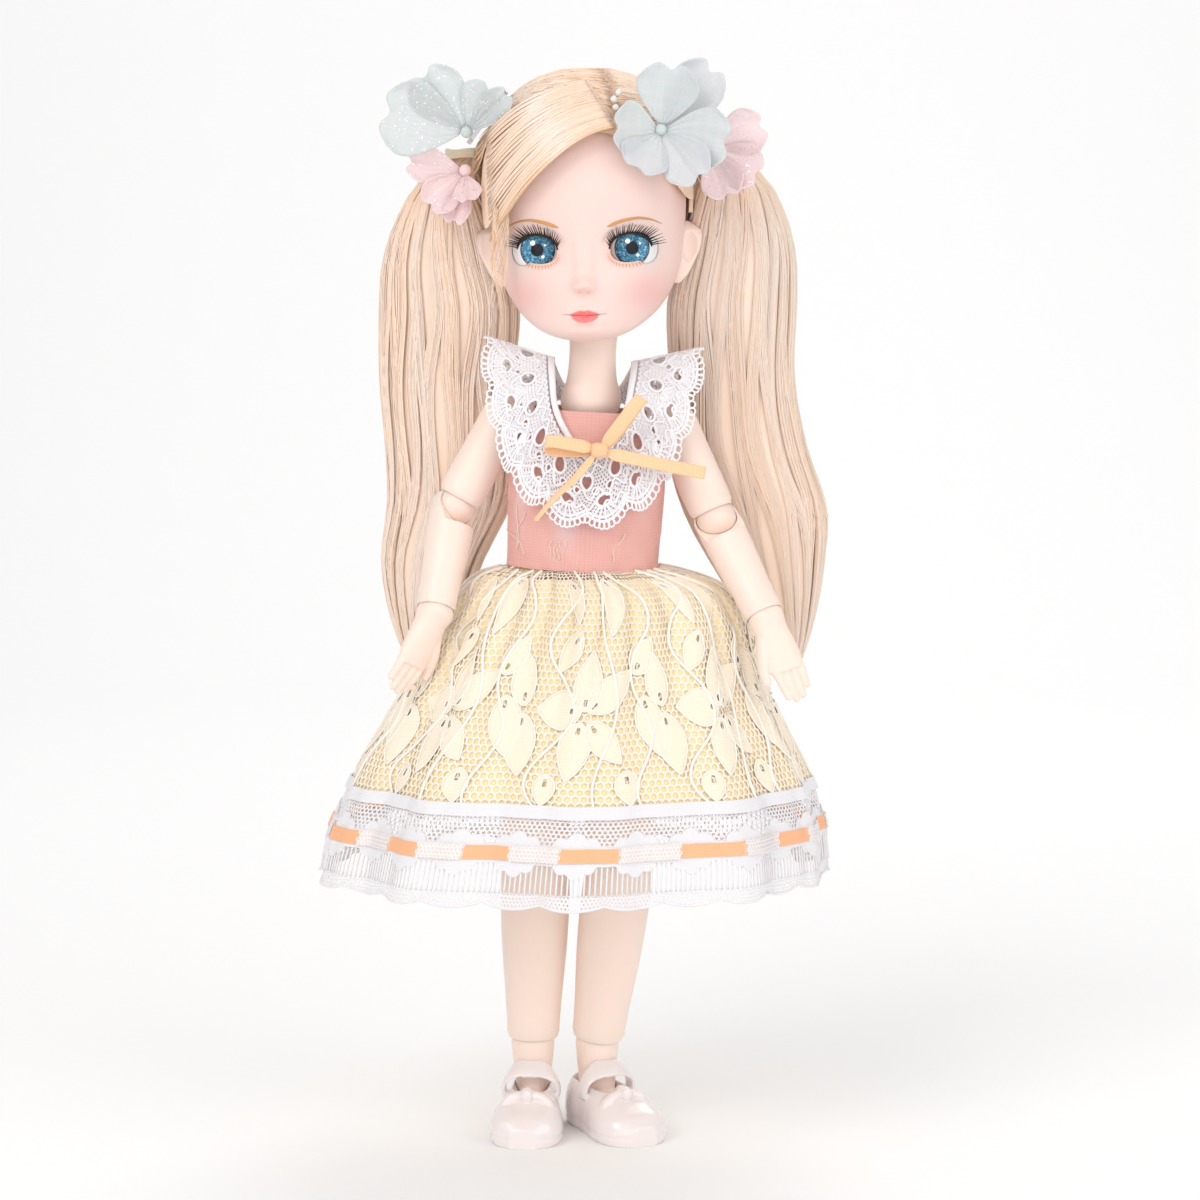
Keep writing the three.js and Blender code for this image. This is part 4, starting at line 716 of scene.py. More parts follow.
def hoop(y, z, wide, tall, steps):
    # an oval that stands across the y axis
    a = circle(steps)
    return np.stack([wide * np.cos(a), y + 0 * a, z + tall * np.sin(a)], -1)


def shoe(name):
    shell = loft("shell", shoeShell(0, 3.0))
    throat = loft("throat", [hoop(y, 19 - ankleHeight, w, d, 32) for y, w, d in shoeShape["throat"]])
    inside = foot("inside")
    grow = inside.modifiers.new("grow", "DISPLACE")
    grow.strength, grow.mid_level = 0.3 * mm, 0
    applyModifiers(inside)
    carve(shell, throat)
    turn = np.radians(np.linspace(-14, 194, 40))
    lift = -5.4 - 1.6 * np.sin(turn)
    bar = []
    for down, out in shoeShape["bar"]:
        r = out - 0.2 - 0.7 * down * np.clip(np.sin(turn), 0, 1)
        z = 11.6 + (6.7 + r) * np.sin(turn) - ankleHeight
        bar.append(np.stack([(7.1 + out) * np.cos(turn), lift - 0.7 * down, z], -1))
    parts = [shell, loft("bar", np.stack(bar, 1))]
    bowAt, a = shoeShape["bowAt"], circle(16)
    for side in (1, -1):
        wing = []
        for x, half, thick in shoeShape["wing"]:
            z = 12.2 - 0.055 * x * x - ankleHeight + (thick - 0.35 * half * np.cos(a)) * np.sin(a)
            wing.append(np.stack([side * x + 0 * a, bowAt + half * np.cos(a), z], -1))
        parts.append(loft("wing", wing))
    parts.append(loft("knot", [hoop(bowAt + s * 3.0, 12.6 - ankleHeight, r * 1.9, r * 2.1, 16)
                               for s, r in shoeShape["knot"]]))
    casting = moulded(name, parts, 0.3, 3)
    return carve(casting, inside)


limbJoints = ("shoulder_swing", "elbow_bend", "wrist_bend", "hip_swing", "knee_bend", "ankle_bend")


def buildLimbs():
    bodies = {"elbow_joint": "elbow_ball", "knee_joint": "knee_ball", "shoe": "foot"}
    skin, ball, shod = (skinVinyl, "skin"), (jointVinyl, "joint"), (shoeVinyl, "shoe")
    for name, side in sides:
        shoulder, elbow, wrist, hip, knee, ankle = (jointAt(f"{joint}_{name}") for joint in limbJoints)
        elbowAcross, kneeAcross = -jointAxis(f"elbow_bend_{name}"), jointAxis(f"knee_bend_{name}")
        upperArm, foreArm = turnFrom(shoulder - elbow, elbowAcross), turnFrom(elbow - wrist, elbowAcross)
        thigh, shin = turnFrom(hip - knee, kneeAcross), turnFrom(knee - ankle, kneeAcross)
        turnZ, turnX = handTurns[name]
        handTurn = foreArm @ spin("z", turnZ) @ spin("x", turnX)
        footTurn = turnFrom([0, 0, 1], jointAxis(f"ankle_bend_{name}"))
        things = ((upperLimb(f"upperArm_{name}", arm), "upper_arm", upperArm, shoulder, skin),
                  (lowerLimb(f"foreArm_{name}", arm), "forearm", foreArm, elbow, skin),
                  (ballOnPeg(f"elbowBall_{name}", arm), "elbow_joint", upperArm, elbow, ball),
                  (hand(f"hand_of_{name}", -side), "hand", handTurn, wrist, skin),
                  (upperLimb(f"upperLeg_{name}", leg), "thigh", thigh, hip, skin),
                  (lowerLimb(f"lowerLeg_{name}", leg), "shin", shin, knee, skin),
                  (ballOnPeg(f"kneeBall_{name}", leg), "knee_joint", thigh, knee, ball),
                  (foot(f"foot_of_{name}"), "foot", footTurn, ankle, skin),
                  (shoe(f"barShoe_{name}"), "shoe", footTurn, ankle, shod))
        for thing, node, turn, at, (material, slotName) in things:
            movePiece(thing, turn, at)
            dress(thing, material, f"{bodies.get(node, node)}_{name}", slotName, f"{node}_{name}")
        for node in ("shoulder_joint", "hip_joint", "wrist_joint", "ankle_joint"):
            finishNode(f"{node}_{name}", jointVinyl)


def finishNode(node, material):
    thing = frame["nodes"][node]
    thing.data.materials.clear()
    thing.data.materials.append(material)
    return thing


# Chest and neck
hipMiddle = (jointAt("hip_swing_right") + jointAt("hip_swing_left")) / 2
leanTurn = turnFrom(jointAt("waist_bend") - hipMiddle, [1, 0, 0])
chestRows = [[30.0, 19.4, 12.6, 12.0], [36.0, 19.6, 12.9, 12.0], [44.0, 20.0, 13.5, 12.2],
             [53.0, 20.0, 14.0, 12.6], [60.0, 19.6, 13.5, 12.4], [66.0, 18.8, 12.0, 11.6],
             [70.0, 16.4, 10.2, 10.4], [73.0, 12.0, 8.6, 9.0], [75.0, 8.2, 7.6, 7.9]]
shoulderHeight, shoulderOffset, chestPower = 66.4, 23.8, 2.3
neckRows = [[-7.4, 3.4, 3.4], [-5.6, 6.2, 6.2], [-2.0, 8.2, 8.2], [1.5, 8.2, 8.0], [5, 7.0, 7.0],
            [10, 6.5, 6.5], [15, 6.5, 6.5], [19, 6.9, 6.9], [22.2, 7.1, 7.1]]


def sphereCutter(centre, radius, scale=(1, 1, 1)):
    a = np.linspace(0.03, math.pi - 0.03, 24)
    rows = np.column_stack([-radius * np.cos(a)] + [radius * np.sin(a)] * 3)
    return loft("cutter", ovals(rows, 36) * np.array(scale) + np.array(centre, float))


def buildTorso():
    heights = np.concatenate([np.linspace(30, 66, 30), np.linspace(66.5, 75, 22)])
    rings = ovals(np.column_stack([heights, readTable(chestRows, heights)]), 72, chestPower)
    for name, node, sign in (("chestFront", "chest_front", -1), ("chestBack", "chest_back", 1)):
        half = loft(name, rings)
        cutters = [sphereCutter((side * shoulderOffset, 0, shoulderHeight), arm["dome"] + play)
                   for _, side in sides]
        cutters += [sphereCutter((0, 1, 73), 8.6), sphereCutter((0, 0, 26), 11.2)]
        outline = [(sign * 0.15 - sign * y, z) for y, z in ((0, -60), (60, -60), (60, 160), (0, 160))]
        cutters.append(prism("behind", outline, 120))
        carve(half, *cutters)
        dress(movePiece(half, leanTurn, hipMiddle), skinVinyl, "chest", "skin", node)
    base = jointAt("neck_tilt")
    aim = jointAt("head_turn") - base
    heights = np.linspace(neckRows[0][0], neckRows[-1][0], 48)
    shape = readTable(neckRows, heights)
    rows = np.column_stack([heights, shape, shape[:, 1], *(aim[:2, None] * heights / aim[2])])
    neck = loft("neckColumn", ovals(rows, 56))
    carve(neck, sphereCutter(aim, neckBall + play))
    dress(movePiece(neck, np.eye(3), base), skinVinyl, "neck", "skin", "neck")
    for node in ("pelvis_front", "pelvis_back"):
        finishNode(node, skinVinyl)
    for node in ("waist_joint", "neck_joint"):
        finishNode(node, jointVinyl)


buildLimbs()
buildTorso()
print("body built")


# Head: its own frame has the middle of the eyes as origin, and everything in it is in millimetres
headSpin = spin("z", -3) @ spin("y", -1.3)
neckInHead = np.array([1.0, 3.0, -18.5])
headAt = jointAt("head_nod") - headSpin @ neckInHead
headTable = [[-24.8, 3.0, 18.5, -10.0], [-23.4, 9.0, 22.2, -4.5], [-21.0, 14.0, 24.3, 2.0],
             [-16.5, 19.4, 25.4, 9.5], [-10.0, 23.4, 25.6, 18.0], [-4.0, 25.3, 25.2, 23.5],
             [2.0, 26.2, 25.3, 26.8], [10.0, 26.9, 26.3, 29.0], [18.0, 27.0, 26.6, 29.8],
             [26.0, 25.8, 25.0, 28.8], [34.0, 22.4, 21.0, 25.4], [40.0, 17.4, 15.5, 19.6],
             [44.5, 10.6, 8.6, 12.2], [46.6, 3.4, 2.0, 4.6]]
headPower, headLine, headMiddle, headHeight = 2.15, 2.0, 10.0, 47.0
eye = {"radius": 7.6, "x": 12.4, "y": -14.3, "z": 0.3, "width": 10.5, "height": 8.3, "slant": 0.06,
       "iris": 4.8, "turn": {"right": -2, "left": 5}}
# forms of the face: how far out, how far from the middle and how wide, at what height and how tall
faceForms = {"bridge": (1.3, 0, 3.0, -3.2, 5.4), "noseTip": (2.9, 0, 2.5, -8.9, 2.2),
             "noseWings": (0.9, 2.2, 1.2, -9.6, 1.3), "nostrils": (-0.45, 1.25, 0.55, -10.9, 0.5),
             "groove": (-0.32, 0, 0.75, -13.6, 1.4), "lowerLip": (1.45, 0, 2.9, -18.6, 1.3),
             "chin": (1.0, 0, 6.0, -22.0, 3.0), "chinFold": (-0.3, 0, 4.0, -20.4, 0.8),
             "sockets": (-0.6, 11.6, 7.2, 1.6, 5.4), "cheeks": (0.7, 12.5, 6.5, -11.0, 5.5)}
# eyeShadowAndPaintedShade holds the eye make-up and also painted shade round the nose
facePaints = {"blush": (0.86, 0.30, 0.29), "eyeShadowAndPaintedShade": (0.85, 0.40, 0.25), "lip": (0.88, 0.20, 0.20)}


def almondDistance(x, z):
    # 1 on the edge of the eye's opening, less inside it
    across = (np.abs(x) - eye["x"]) / (eye["width"] / 2)
    up = z - eye["z"] - eye["slant"] * (np.abs(x) - eye["x"])
    tall = np.where(up > 0, 0.98, 0.86) * eye["height"] / 2
    return (np.abs(across) ** 2.2 + np.abs(up / tall) ** 2.2) ** (1 / 2.2)


def lineAt(rows, z):
    # the middle line of the head's ovals: under the mouth it moves forward into the chin
    middle = (rows[..., 2] - rows[..., 1]) / 2
    return headLine + (middle - headLine) * smoothStep(-13, -22, z)


def faceRelief(x, z):
    side = np.abs(x)
    rim = almondDistance(x, z)
    forms = sum(out * bump(side - at, wide) * bump(z - level, tall)
                for out, at, wide, level, tall in faceForms.values())
    upperLip = 1.5 * bump(x, 3.6) * bump(z + 15.9 - 0.25 * bump(x, 0.9), 1.25)
    seam = -0.55 * bump(x, 4.4) * bump(z + 17.25 + 0.25 * bump(x, 1.0), 0.34)
    upperLid = 0.55 * bump(rim - 1.12, 0.13) * smoothStep(-3, 2, z)
    crease = -0.3 * bump(rim - 1.42, 0.12) * smoothStep(0, 3, z)
    lowerLid = 0.3 * bump(rim - 1.1, 0.12) * smoothStep(1, -2, z)
    return forms + upperLip + seam + upperLid + crease + lowerLid


def headRings(grown, heights, angles, relief=False):
    rows = readTable(headTable, heights)
    half, front, back = rows[:, :1], rows[:, 1:2], rows[:, 2:3]
    lifted = heights + (heights - headMiddle) * grown / headHeight
    line = lineAt(rows, heights)[:, None]
    depth = grown + np.where(np.sin(angles) < 0, line + front, back - line)
    x = (half + grown) * squared(np.cos(angles), headPower)
    y = line + depth * squared(np.sin(angles), headPower)
    z = np.repeat(lifted[:, None], len(angles), 1)
    if relief:
        y = y - np.where(y < headLine, faceRelief(x, z) * np.clip((headLine - y) / 14, 0, 1), 0)
    return np.stack([x, y, z], -1)


def inFront(x, z, out=0.0):
    # how far forward the head reaches at x and z, offset by out and without the relief of the face
    rows = readTable(headTable, z - (z - headMiddle) * out / headHeight)
    share = np.minimum(0.985, np.abs(x) / (rows[..., 0] + out))
    line = lineAt(rows, z)
    return line - (line + rows[..., 1] + out) * (1 - share ** headPower) ** (1 / headPower)


def onHead(x, z):
    # the point of the face at x and z
    y = inFront(x, z)
    return np.stack([x, y - faceRelief(x, z) * np.clip((headLine - y) / 14, 0, 1), z], -1)


def toHead(thing):
    return movePiece(thing, headSpin, headAt)


def pointsOf(thing):
    return coords(thing.data) / mm


def almond(side):
    angle = circle(64)
    lid = np.where(np.sin(angle) > 0, 0.98, -0.86)
    x = eye["width"] / 2 * np.cos(angle)
    z = eye["height"] / 2 * lid * np.abs(np.sin(angle)) ** 0.82
    return np.stack([side * (eye["x"] + x), eye["z"] + z + eye["slant"] * x], -1)


def lipMask(x, z):
    side = np.abs(x)
    top = -17.2 + 1.8 * np.clip(1 - side / 4.2, 0, 1) ** 0.7 * (1 - 0.3 * bump(x, 0.7))
    low = -17.2 - 2.0 * np.sqrt(np.clip(1 - (side / 3.7) ** 2, 0, 1))
    return smoothStep(-0.14, 0.14, top - z) * smoothStep(-0.16, 0.16, z - low) * (side < 4.4)


def makeFacePaint():
    material, tree, shader = newMaterial("facePaint", **softSkin)
    skin = placeGroup(tree, mottle, {"Colour": (0.89, 0.675, 0.62, 1), "Tint": (0.90, 0.63, 0.57, 1),
                                     "Scale": 70.0, "Amount": 0.3, "Roughness": 0.46, "Spread": 0.1})
    colour = skin["Colour"]
    for name, tint in facePaints.items():
        colour = mixColour(tree, painted(tree, name), colour, tint)
    gloss = times(tree, painted(tree, "lip"), -0.2)
    feed(tree, shader, Base_Color=colour, Roughness=plus(tree, skin["Roughness"], gloss))
    setBump(tree, shader, skin["Height"], 0.2)
    return material


facePaint = makeFacePaint()


def buildFace():
    heights = np.concatenate([np.arange(-24.8, 9, 0.3), np.arange(9, 46.6, 1.2), [46.6]])
    front = np.linspace(-math.pi - 0.25, 0.25, 250)
    front = front + 0.34 * np.cos(front)
    angles = np.concatenate([front, np.linspace(front[-1], front[0] + 2 * math.pi, 62)[1:-1]])
    head = loft("faceShell", headRings(0, heights, angles, True))
    cutters = []
    for _, side in sides:
        outline = almond(side)
        a = np.insert(outline, 1, -45.0, axis=1)
        cutters.append(loft("opening", np.stack([a, a + [0, 30, 0]])))
        cutters.append(sphereCutter((side * eye["x"], eye["y"], eye["z"]), eye["radius"] + 0.2))
    cutters.append(sphereCutter(neckInHead, neckBall + play))
    mouth = neckInHead + [0.4, -1, -14]
    cutters.append(tubeObject("throat", [np.linspace(neckInHead, mouth, 4)], [8.8], 32))
    cutters.append(prism("behind", [(6.85, -80), (80, -80), (80, 90), (6.85, 90)], 120))
    carve(head, *cutters)
    x, y, z = pointsOf(head).T
    side, rim = np.abs(x), almondDistance(x, z)
    blush = 0.34 * np.exp(-((side - 17.0) / 6.5) ** 2 - ((z + 11.5) / 5.0) ** 2)
    blush += 0.20 * bump(x, 1.6) * bump(z + 10.6, 1.2) + 0.10 * bump(x, 5) * bump(z + 22.5, 2.0)
    # eye make-up round the opening, stronger below
    eyeShadowAndPaintedShade = 0.42 * bump(rim - 1.12, 0.22) * (0.45 + 0.55 * smoothStep(1, -2, z))
    # painted shade: dark spots in the nostrils, a line under the nose tip and along the sides of the bridge
    eyeShadowAndPaintedShade += 0.5 * bump(side - 1.3, 0.6) * bump(z + 11.0, 0.45)
    eyeShadowAndPaintedShade += 0.16 * bump(x, 2.2) * bump(z + 11.4, 0.7) + 0.10 * bump(side - 2.6, 0.8) * bump(z + 3, 6)
    for name, share in (("blush", blush), ("eyeShadowAndPaintedShade", eyeShadowAndPaintedShade), ("lip", 0.92 * lipMask(x, z))):
        paint(head, name, np.clip(share * (y < 0), 0, 1))
    dress(toHead(head), facePaint, "head", "skin_face", "face_shell")
    finishNode("head_back_cap", skinVinyl)


earRows = [[-10.2, 0.8, 0.8], [-8.0, 2.4, 2.0], [-4.0, 4.0, 2.8], [0.5, 5.4, 3.4], [4.5, 5.2, 3.2],
           [6.8, 2.6, 1.6]]


def buildEars():
    heights = np.linspace(-10.2, 6.8, 30)
    shape = readTable(earRows, heights)
    table = np.column_stack([heights, shape, shape[:, 1], 23.8 + shape[:, 0] * 0.35, 5 + 0.12 * heights])
    for name, side in sides:
        shell = loft("shell", ovals(table, 40))
        carve(shell, sphereCutter((28.0, 2.2, -0.4), 1, (2.4, 1.6, 4.6)))
        ear = moulded(f"ear_{name}", [shell], 0.25, 4)
        mirror = np.diag([side, 1.0, 1.0])
        movePiece(ear, headSpin @ mirror, headAt)
        if side < 0:
            ear.data.flip_normals()
        dress(ear, skinVinyl, "head", "skin_face", "face_shell")


# Eyes: a glossy ball with the iris printed round its front, and painted highlights: white spots that glow
irisStops = [(0.0, (0.002, 0.003, 0.006)), (0.33, (0.002, 0.004, 0.01)), (0.36, (0.01, 0.06, 0.14)),
             (0.50, (0.008, 0.12, 0.26)), (0.74, (0.015, 0.19, 0.36)), (0.88, (0.005, 0.05, 0.13)),
             (0.985, (0.004, 0.02, 0.05)), (1.0, (0.82, 0.80, 0.80))]
paintedHighlights = ((-1.2, 1.9, 0.62), (1.5, -1.9, 0.38), (2.1, 1.2, 0.25))    # painted highlights on the eye: x, z and radius


def makeIris():
    material, tree, shader = newMaterial("irisGlass", Roughness=0.3, Specular_IOR_Level=0.2, Coat_Weight=0.35,
                                         Coat_Roughness=0.02)
    away, paintedHighlight = painted(tree, "irisRadius"), painted(tree, "paintedHighlight")
    settings = {"W": times(tree, painted(tree, "irisTurn"), 14.0), "Scale": 3.0, "Detail": 4.0}
    streak = addNode(tree, "TexNoise", settings, noise_dimensions="1D").outputs["Fac"]
    cells = addNode(tree, "TexVoronoi", {"Vector": surfacePoint(tree), "Scale": 2600.0})
    spark = addNode(tree, "SeparateColor", {0: cells.outputs["Color"]})
    lively = times(tree, spark.outputs[0], spark.outputs[1])
    base = rampNode(tree, away, irisStops)
    outside = mathNode(tree, "GREATER_THAN", away, 0.37)
    ring = times(tree, outside, mathNode(tree, "LESS_THAN", away, 0.95))
    share = times(tree, times(tree, lively, ring), 0.8)
    colour = mixColour(tree, share, base, (0.45, 0.88, 0.96))
    dark = times(tree, mathNode(tree, "LESS_THAN", streak, 0.46), ring)
    colour = mixColour(tree, times(tree, dark, 0.5), colour, (0.01, 0.06, 0.16))
    # the painted highlights turn the colour white and glow by emission
    feed(tree, shader, Base_Color=mixColour(tree, paintedHighlight, colour, (1.0, 1.0, 1.0)),
         Emission_Strength=times(tree, paintedHighlight, 0.5))
    shader.inputs["Emission Color"].default_value = (1, 1, 1, 1)
    return material


def buildEyes():
    material = makeIris()
    for name, side in sides:
        polar = np.concatenate([np.linspace(0.004, 0.85, 110), np.linspace(0.87, math.pi - 0.02, 40)])
        turn = circle(128)
        aim = spin("z", eye["turn"][name]) @ spin("x", -1.5)
        rings = np.stack([np.sin(polar)[:, None] * np.cos(turn), -np.cos(polar)[:, None] + 0 * turn,
                          np.sin(polar)[:, None] * np.sin(turn)], -1) * eye["radius"]
        ball = loft(f"eyeball_{name}", rings)
        x, y, z = pointsOf(ball).T
        away = np.hypot(x, z) / eye["iris"]
        paint(ball, "irisRadius", np.where(y < 0, np.clip(away, 0, 1), 1))
        paint(ball, "irisTurn", np.abs(np.arctan2(z, x)) + 4 * (z < 0))
        # painted highlight spots, only on the front of the ball
        spots = [smoothStep(size + 0.12, size - 0.12, np.hypot(x - gx, z - gz)) for gx, gz, size in paintedHighlights]
        paint(ball, "paintedHighlight", np.max(spots, 0) * (y < 0))
        movePiece(ball, aim, (side * eye["x"], eye["y"], eye["z"]))
        dress(toHead(ball), material, "head", "eye", f"eye_{name}")


lashPaints = {"lashFibre": ((0.012, 0.008, 0.008), (0.03, 0.015, 0.012), 0.6),
              "lashPeach": ((0.74, 0.30, 0.16), (0.62, 0.22, 0.12), 0.6),
              "browGold": ((0.66, 0.33, 0.12), (0.74, 0.42, 0.20), 0.65),
              "mouthLine": ((0.36, 0.12, 0.11), (0.42, 0.16, 0.15), 0.6)}
lashCount = 30
brows = {"strokes": 26, "knots": [0, 0.25, 0.55, 0.8, 1], "x": [6.6, 10.2, 14.6, 18.4, 21.2],
         "z": [6.5, 7.9, 8.7, 8.1, 6.6]}


def lidPoint(t, out, grow=0.1):
    # along the upper lid: t from 0 at the outer corner to 1 at the inner one, for the doll's left eye
    angle = np.radians(4 + 172 * np.asarray(t, float))
    x = (eye["width"] / 2 + grow) * np.cos(angle)
    z = (eye["height"] / 2 + grow) * np.sin(angle).clip(0, 1) ** 0.82
    p = onHead(eye["x"] + x, eye["z"] + z + eye["slant"] * x)
    return p + np.array([0, -1, 0]) * out


def upperLashes(name):
    root = np.linspace(0.0, 0.93, lashCount) + rng.uniform(-0.008, 0.008, lashCount)
    fan = np.radians(14 + 118 * root + rng.uniform(-6, 6, lashCount))
    length = ((2.3 + 2.3 * (1 - root) ** 0.8) * rng.uniform(0.75, 1.08, lashCount))[:, None, None]
    s = np.linspace(0, 1, 8)[None, :, None]
    out = np.stack([np.cos(fan), 0 * fan, np.sin(fan) * 0.85], -1)[:, None] * length
    curl = np.array([0, -0.75, 0]) * length * 0.55
    paths = lidPoint(root, 0.15, 0.2)[:, None] + out * s ** 1.25 + curl * np.sin(s * 1.9)
    return tubeObject(f"upperLashes_{name}", paths, 0.2 * (1 - s[..., 0]) ** 0.7 + 0.025, 5)


def lowerLashes(name):
    angle = np.radians(np.linspace(188, 330, 17))
    x = (eye["width"] / 2 + 0.5) * np.cos(angle)
    z = -(eye["height"] / 2 * 0.86 + 0.5) * np.abs(np.sin(angle)) ** 0.82
    u = np.linspace(0, 1, 6)
    px, pz = eye["x"] + x, eye["z"] + z + eye["slant"] * x
    ox, oz = 0.56 * np.cos(angle) + 0.25, np.sin(angle) * 1.15
    paths = np.stack([onHead(px + ox * k, pz + oz * k) for k in u], 1) + np.array([0, -0.02, 0])
    return tubeObject(f"lowerLashes_{name}", paths, 0.10 * (1 - u) ** 0.6 + 0.03, 5)


def brow(name):
    s = np.linspace(0, 1, 30)
    x = np.interp(s, brows["knots"], brows["x"])
    z = softened(np.interp(s, brows["knots"], brows["z"]), 8)
    wide = 0.42 * (1 - s) ** 0.55 * np.minimum(1, s * 9)
    lines = rng.uniform(-1, 1, brows["strokes"])
    strokes = [onHead(x, z + k * wide) + np.array([0, -0.01, 0]) for k in lines]
    return tubeObject(f"brow_{name}", strokes, 0.15 * (1 - s) ** 0.5 + 0.03, 4)


def buildLashes():
    black, peach, brown, grey = (vinyl(name, *look, 0.1, 400.0) for name, look in lashPaints.items())
    for name, side in sides:
        mirror = headSpin @ np.diag([side, 1.0, 1.0])
        t = np.linspace(-0.02, 1.0, 60)
        liner = tubeObject(f"liner_{name}", [lidPoint(t, 0.0, 0.15)], [0.26 + 0.38 * (1 - t) ** 1.3], 8)
        for thing in (liner, upperLashes(name)):
            dress(movePiece(thing, mirror, headAt), black, "head", "lash", f"eyelash_{name}")
        for thing, material in ((lowerLashes(name), peach), (brow(name), brown)):
            dress(movePiece(thing, mirror, headAt), material, "head", "skin_face", "face_shell")
    x = np.linspace(-6.0, 6.0, 60)
    z = -17.2 - 0.22 * bump(x, 1.1) + 0.010 * x * x
    thick = 0.13 - 0.09 * np.abs(x / 6) ** 2
    seam = tubeObject("mouthSeam", [onHead(x, z) + np.array([0, 0.02, 0])], [thick], 6)
    dress(toHead(seam), grey, "head", "skin_face", "face_shell")


buildFace()
buildEars()
buildEyes()
buildLashes()
print("head built")


# Hair: soft base forms with thousands of fine strands laid on them
hairTie = np.array([33.75, 5.0, 26.6])
bunchTables = {
    "right": [[25, -29.5, -38, 5, 3.4], [19, -31.5, -47, 6, 5.5], [8, -28, -54, 9, 7.5],
              [-3, -24.5, -58, 13, 8.5], [-16, -21, -59.5, 16, 9], [-36, -23, -60.5, 18, 8.6],
              [-57, -23, -59.5, 19, 8.0], [-71, -24.5, -59.5, 19.5, 7.5], [-87, -32.5, -62, 20.5, 6.8],
              [-101, -38.5, -60.5, 21, 5.6], [-114, -45.5, -56.5, 21.5, 4.0], [-124, -48.5, -51.5, 22, 1.6]],
    "left": [[25, 29.5, 38, 5, 3.4], [19, 31.5, 48, 6, 5.5], [8, 28, 54, 9, 7.5], [-3, 24.5, 56.5, 13, 8.5],
             [-16, 21, 56.5, 16, 9], [-36, 21, 55.5, 18, 8.6], [-57, 20, 58.5, 19, 8.2],
             [-76, 24.5, 64, 20, 7.8], [-92, 32.5, 63, 20.5, 7], [-103, 39.5, 61, 21, 5.6],
             [-114, 46.5, 58, 21.5, 4.0], [-124, 50.5, 54, 22, 1.6]]}
hairStops = [(0.0, (0.80, 0.38, 0.16)), (0.25, (0.95, 0.60, 0.34)), (0.5, (0.99, 0.73, 0.52)),
             (0.75, (1.0, 0.80, 0.66)), (1.0, (1.0, 0.88, 0.79))]
strands = {"bunch": 2300, "cap": 3000, "fringe": 1600, "loose": 40, "thick": 0.18}


def makeHair():
    material, tree, shader = newMaterial("hairFibre", Specular_IOR_Level=0.4, Sheen_Weight=0.15)
    grain = addNode(tree, "Mapping", {"Vector": surfacePoint(tree), "Scale": (1.0, 1.0, 0.05)})
    shift = times(tree, minus(tree, noise(tree, 1500.0, 3.0, grain.outputs[0]), 0.5), 0.36)
    colour = rampNode(tree, plus(tree, painted(tree, "tone"), shift), hairStops)
    shine = times(tree, noise(tree, 300.0, 2.0), 0.16)
    feed(tree, shader, Base_Color=colour, Roughness=plus(tree, shine, 0.28))
    return material


hairFibre = makeHair()


def strandObject(name, paths, tones, thick=None):
    # three-sided strands, thin at both ends; tones is one value per strand, or one per step too
    paths = np.asarray(paths, float)
    count, steps = paths.shape[:2]
    s = np.linspace(0, 1, steps)
    slim = (thick or strands["thick"]) * np.minimum(1, (1 - s) * 7 + 0.25) * np.minimum(1, s * 9 + 0.5)
    thing = tubeObject(name, paths, slim[None] * rng.uniform(0.75, 1.2, (count, 1)), 3)
    tones = np.asarray(tones, float)
    if tones.ndim == 1:
        tones = tones[:, None] + 0.05 * np.sin(6 * s[None] + rng.uniform(0, 6, (count, 1)))
    paint(thing, "tone", np.repeat(np.clip(tones, 0.02, 1).ravel(), 3))
    return toHead(thing)
def bunchPoint(table, height, angle, share):
    shape = readTable(table, height)
    inner, outer, depth, thick = (shape[..., k] for k in range(4))
    wave = 0.6 * np.sin(height / 9)
    return np.stack([(inner + outer) / 2 + np.abs(outer - inner) / 2 * share * np.cos(angle),
                     depth + wave + thick * share * np.sin(angle), height], -1)


def hangBunch(thing, name):
    # the bunch gets its material and is attached to no body, so it keeps its place as the head nods
    dress(thing, hairFibre, None, "hair", f"bunch_{name}")
    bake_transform(thing)


def buildBunches():
    for name, side in sides:
        table = bunchTables[name]
        count = strands["bunch"]
        heights = np.linspace(24, -121, 40)
        angle = circle(40)
        lumps = 0.89 + 0.02 * np.sin(5 * angle)[None] * np.sin(heights / 22)[:, None]
        rows, around = np.meshgrid(heights, angle, indexing="ij")
        core = loft(f"bunchCore_{name}", bunchPoint(table, rows, around, lumps))
        paint(core, "tone", np.append(0.74 + 0.05 * np.sin(around * 9), [0.7, 0.7]))
        toHead(core)
        hangBunch(core, name)
        steps = 26
        s = np.linspace(0, 1, steps)[None]
        turn = rng.uniform(0, 2 * math.pi, (count, 1))
        share = 0.92 + 0.08 * rng.uniform(0, 1, (count, 1)) ** 0.6
        end = -124 + 22 * rng.uniform(0, 1, (count, 1)) ** 2.2
        height = 25.5 + (end - 25.5) * s
        lock = np.floor(turn / (2 * math.pi) * 34)
        phase = lock * 2.399
        turn = turn + (lock / 34 * 2 * math.pi + 0.09 - turn) * 0.28 * smoothStep(0.35, 1.0, s)
        drift = 0.07 * np.sin(height / 21 + phase) + 0.03 * np.sin(height / 9 + phase * 1.7)
        swell = share * (1 + 0.012 * np.sin(height / 15 + phase * 2.1)) + rng.normal(0, 0.008, (count, 1))
        paths = bunchPoint(table, height, turn + drift, np.minimum(swell, 1.04))
        # painted light: strands on the front, where the lamps fall, are made lighter; the tone also varies at
        # random and gets darker towards the tie
        front = smoothStep(-0.3, 0.9, -np.sin(turn[:, :1]))
        tones = (0.77 + 0.07 * np.sin(phase[:, :1] * 3.1) + rng.normal(0, 0.07, (count, 1)) + 0.05 * front
                 - 0.24 * smoothStep(0, 26, height) + 0.05 * np.sin(height / 24 + side))
        hair = strandObject(f"bunchStrands_{name}", paths, tones)
        hangBunch(hair, name)


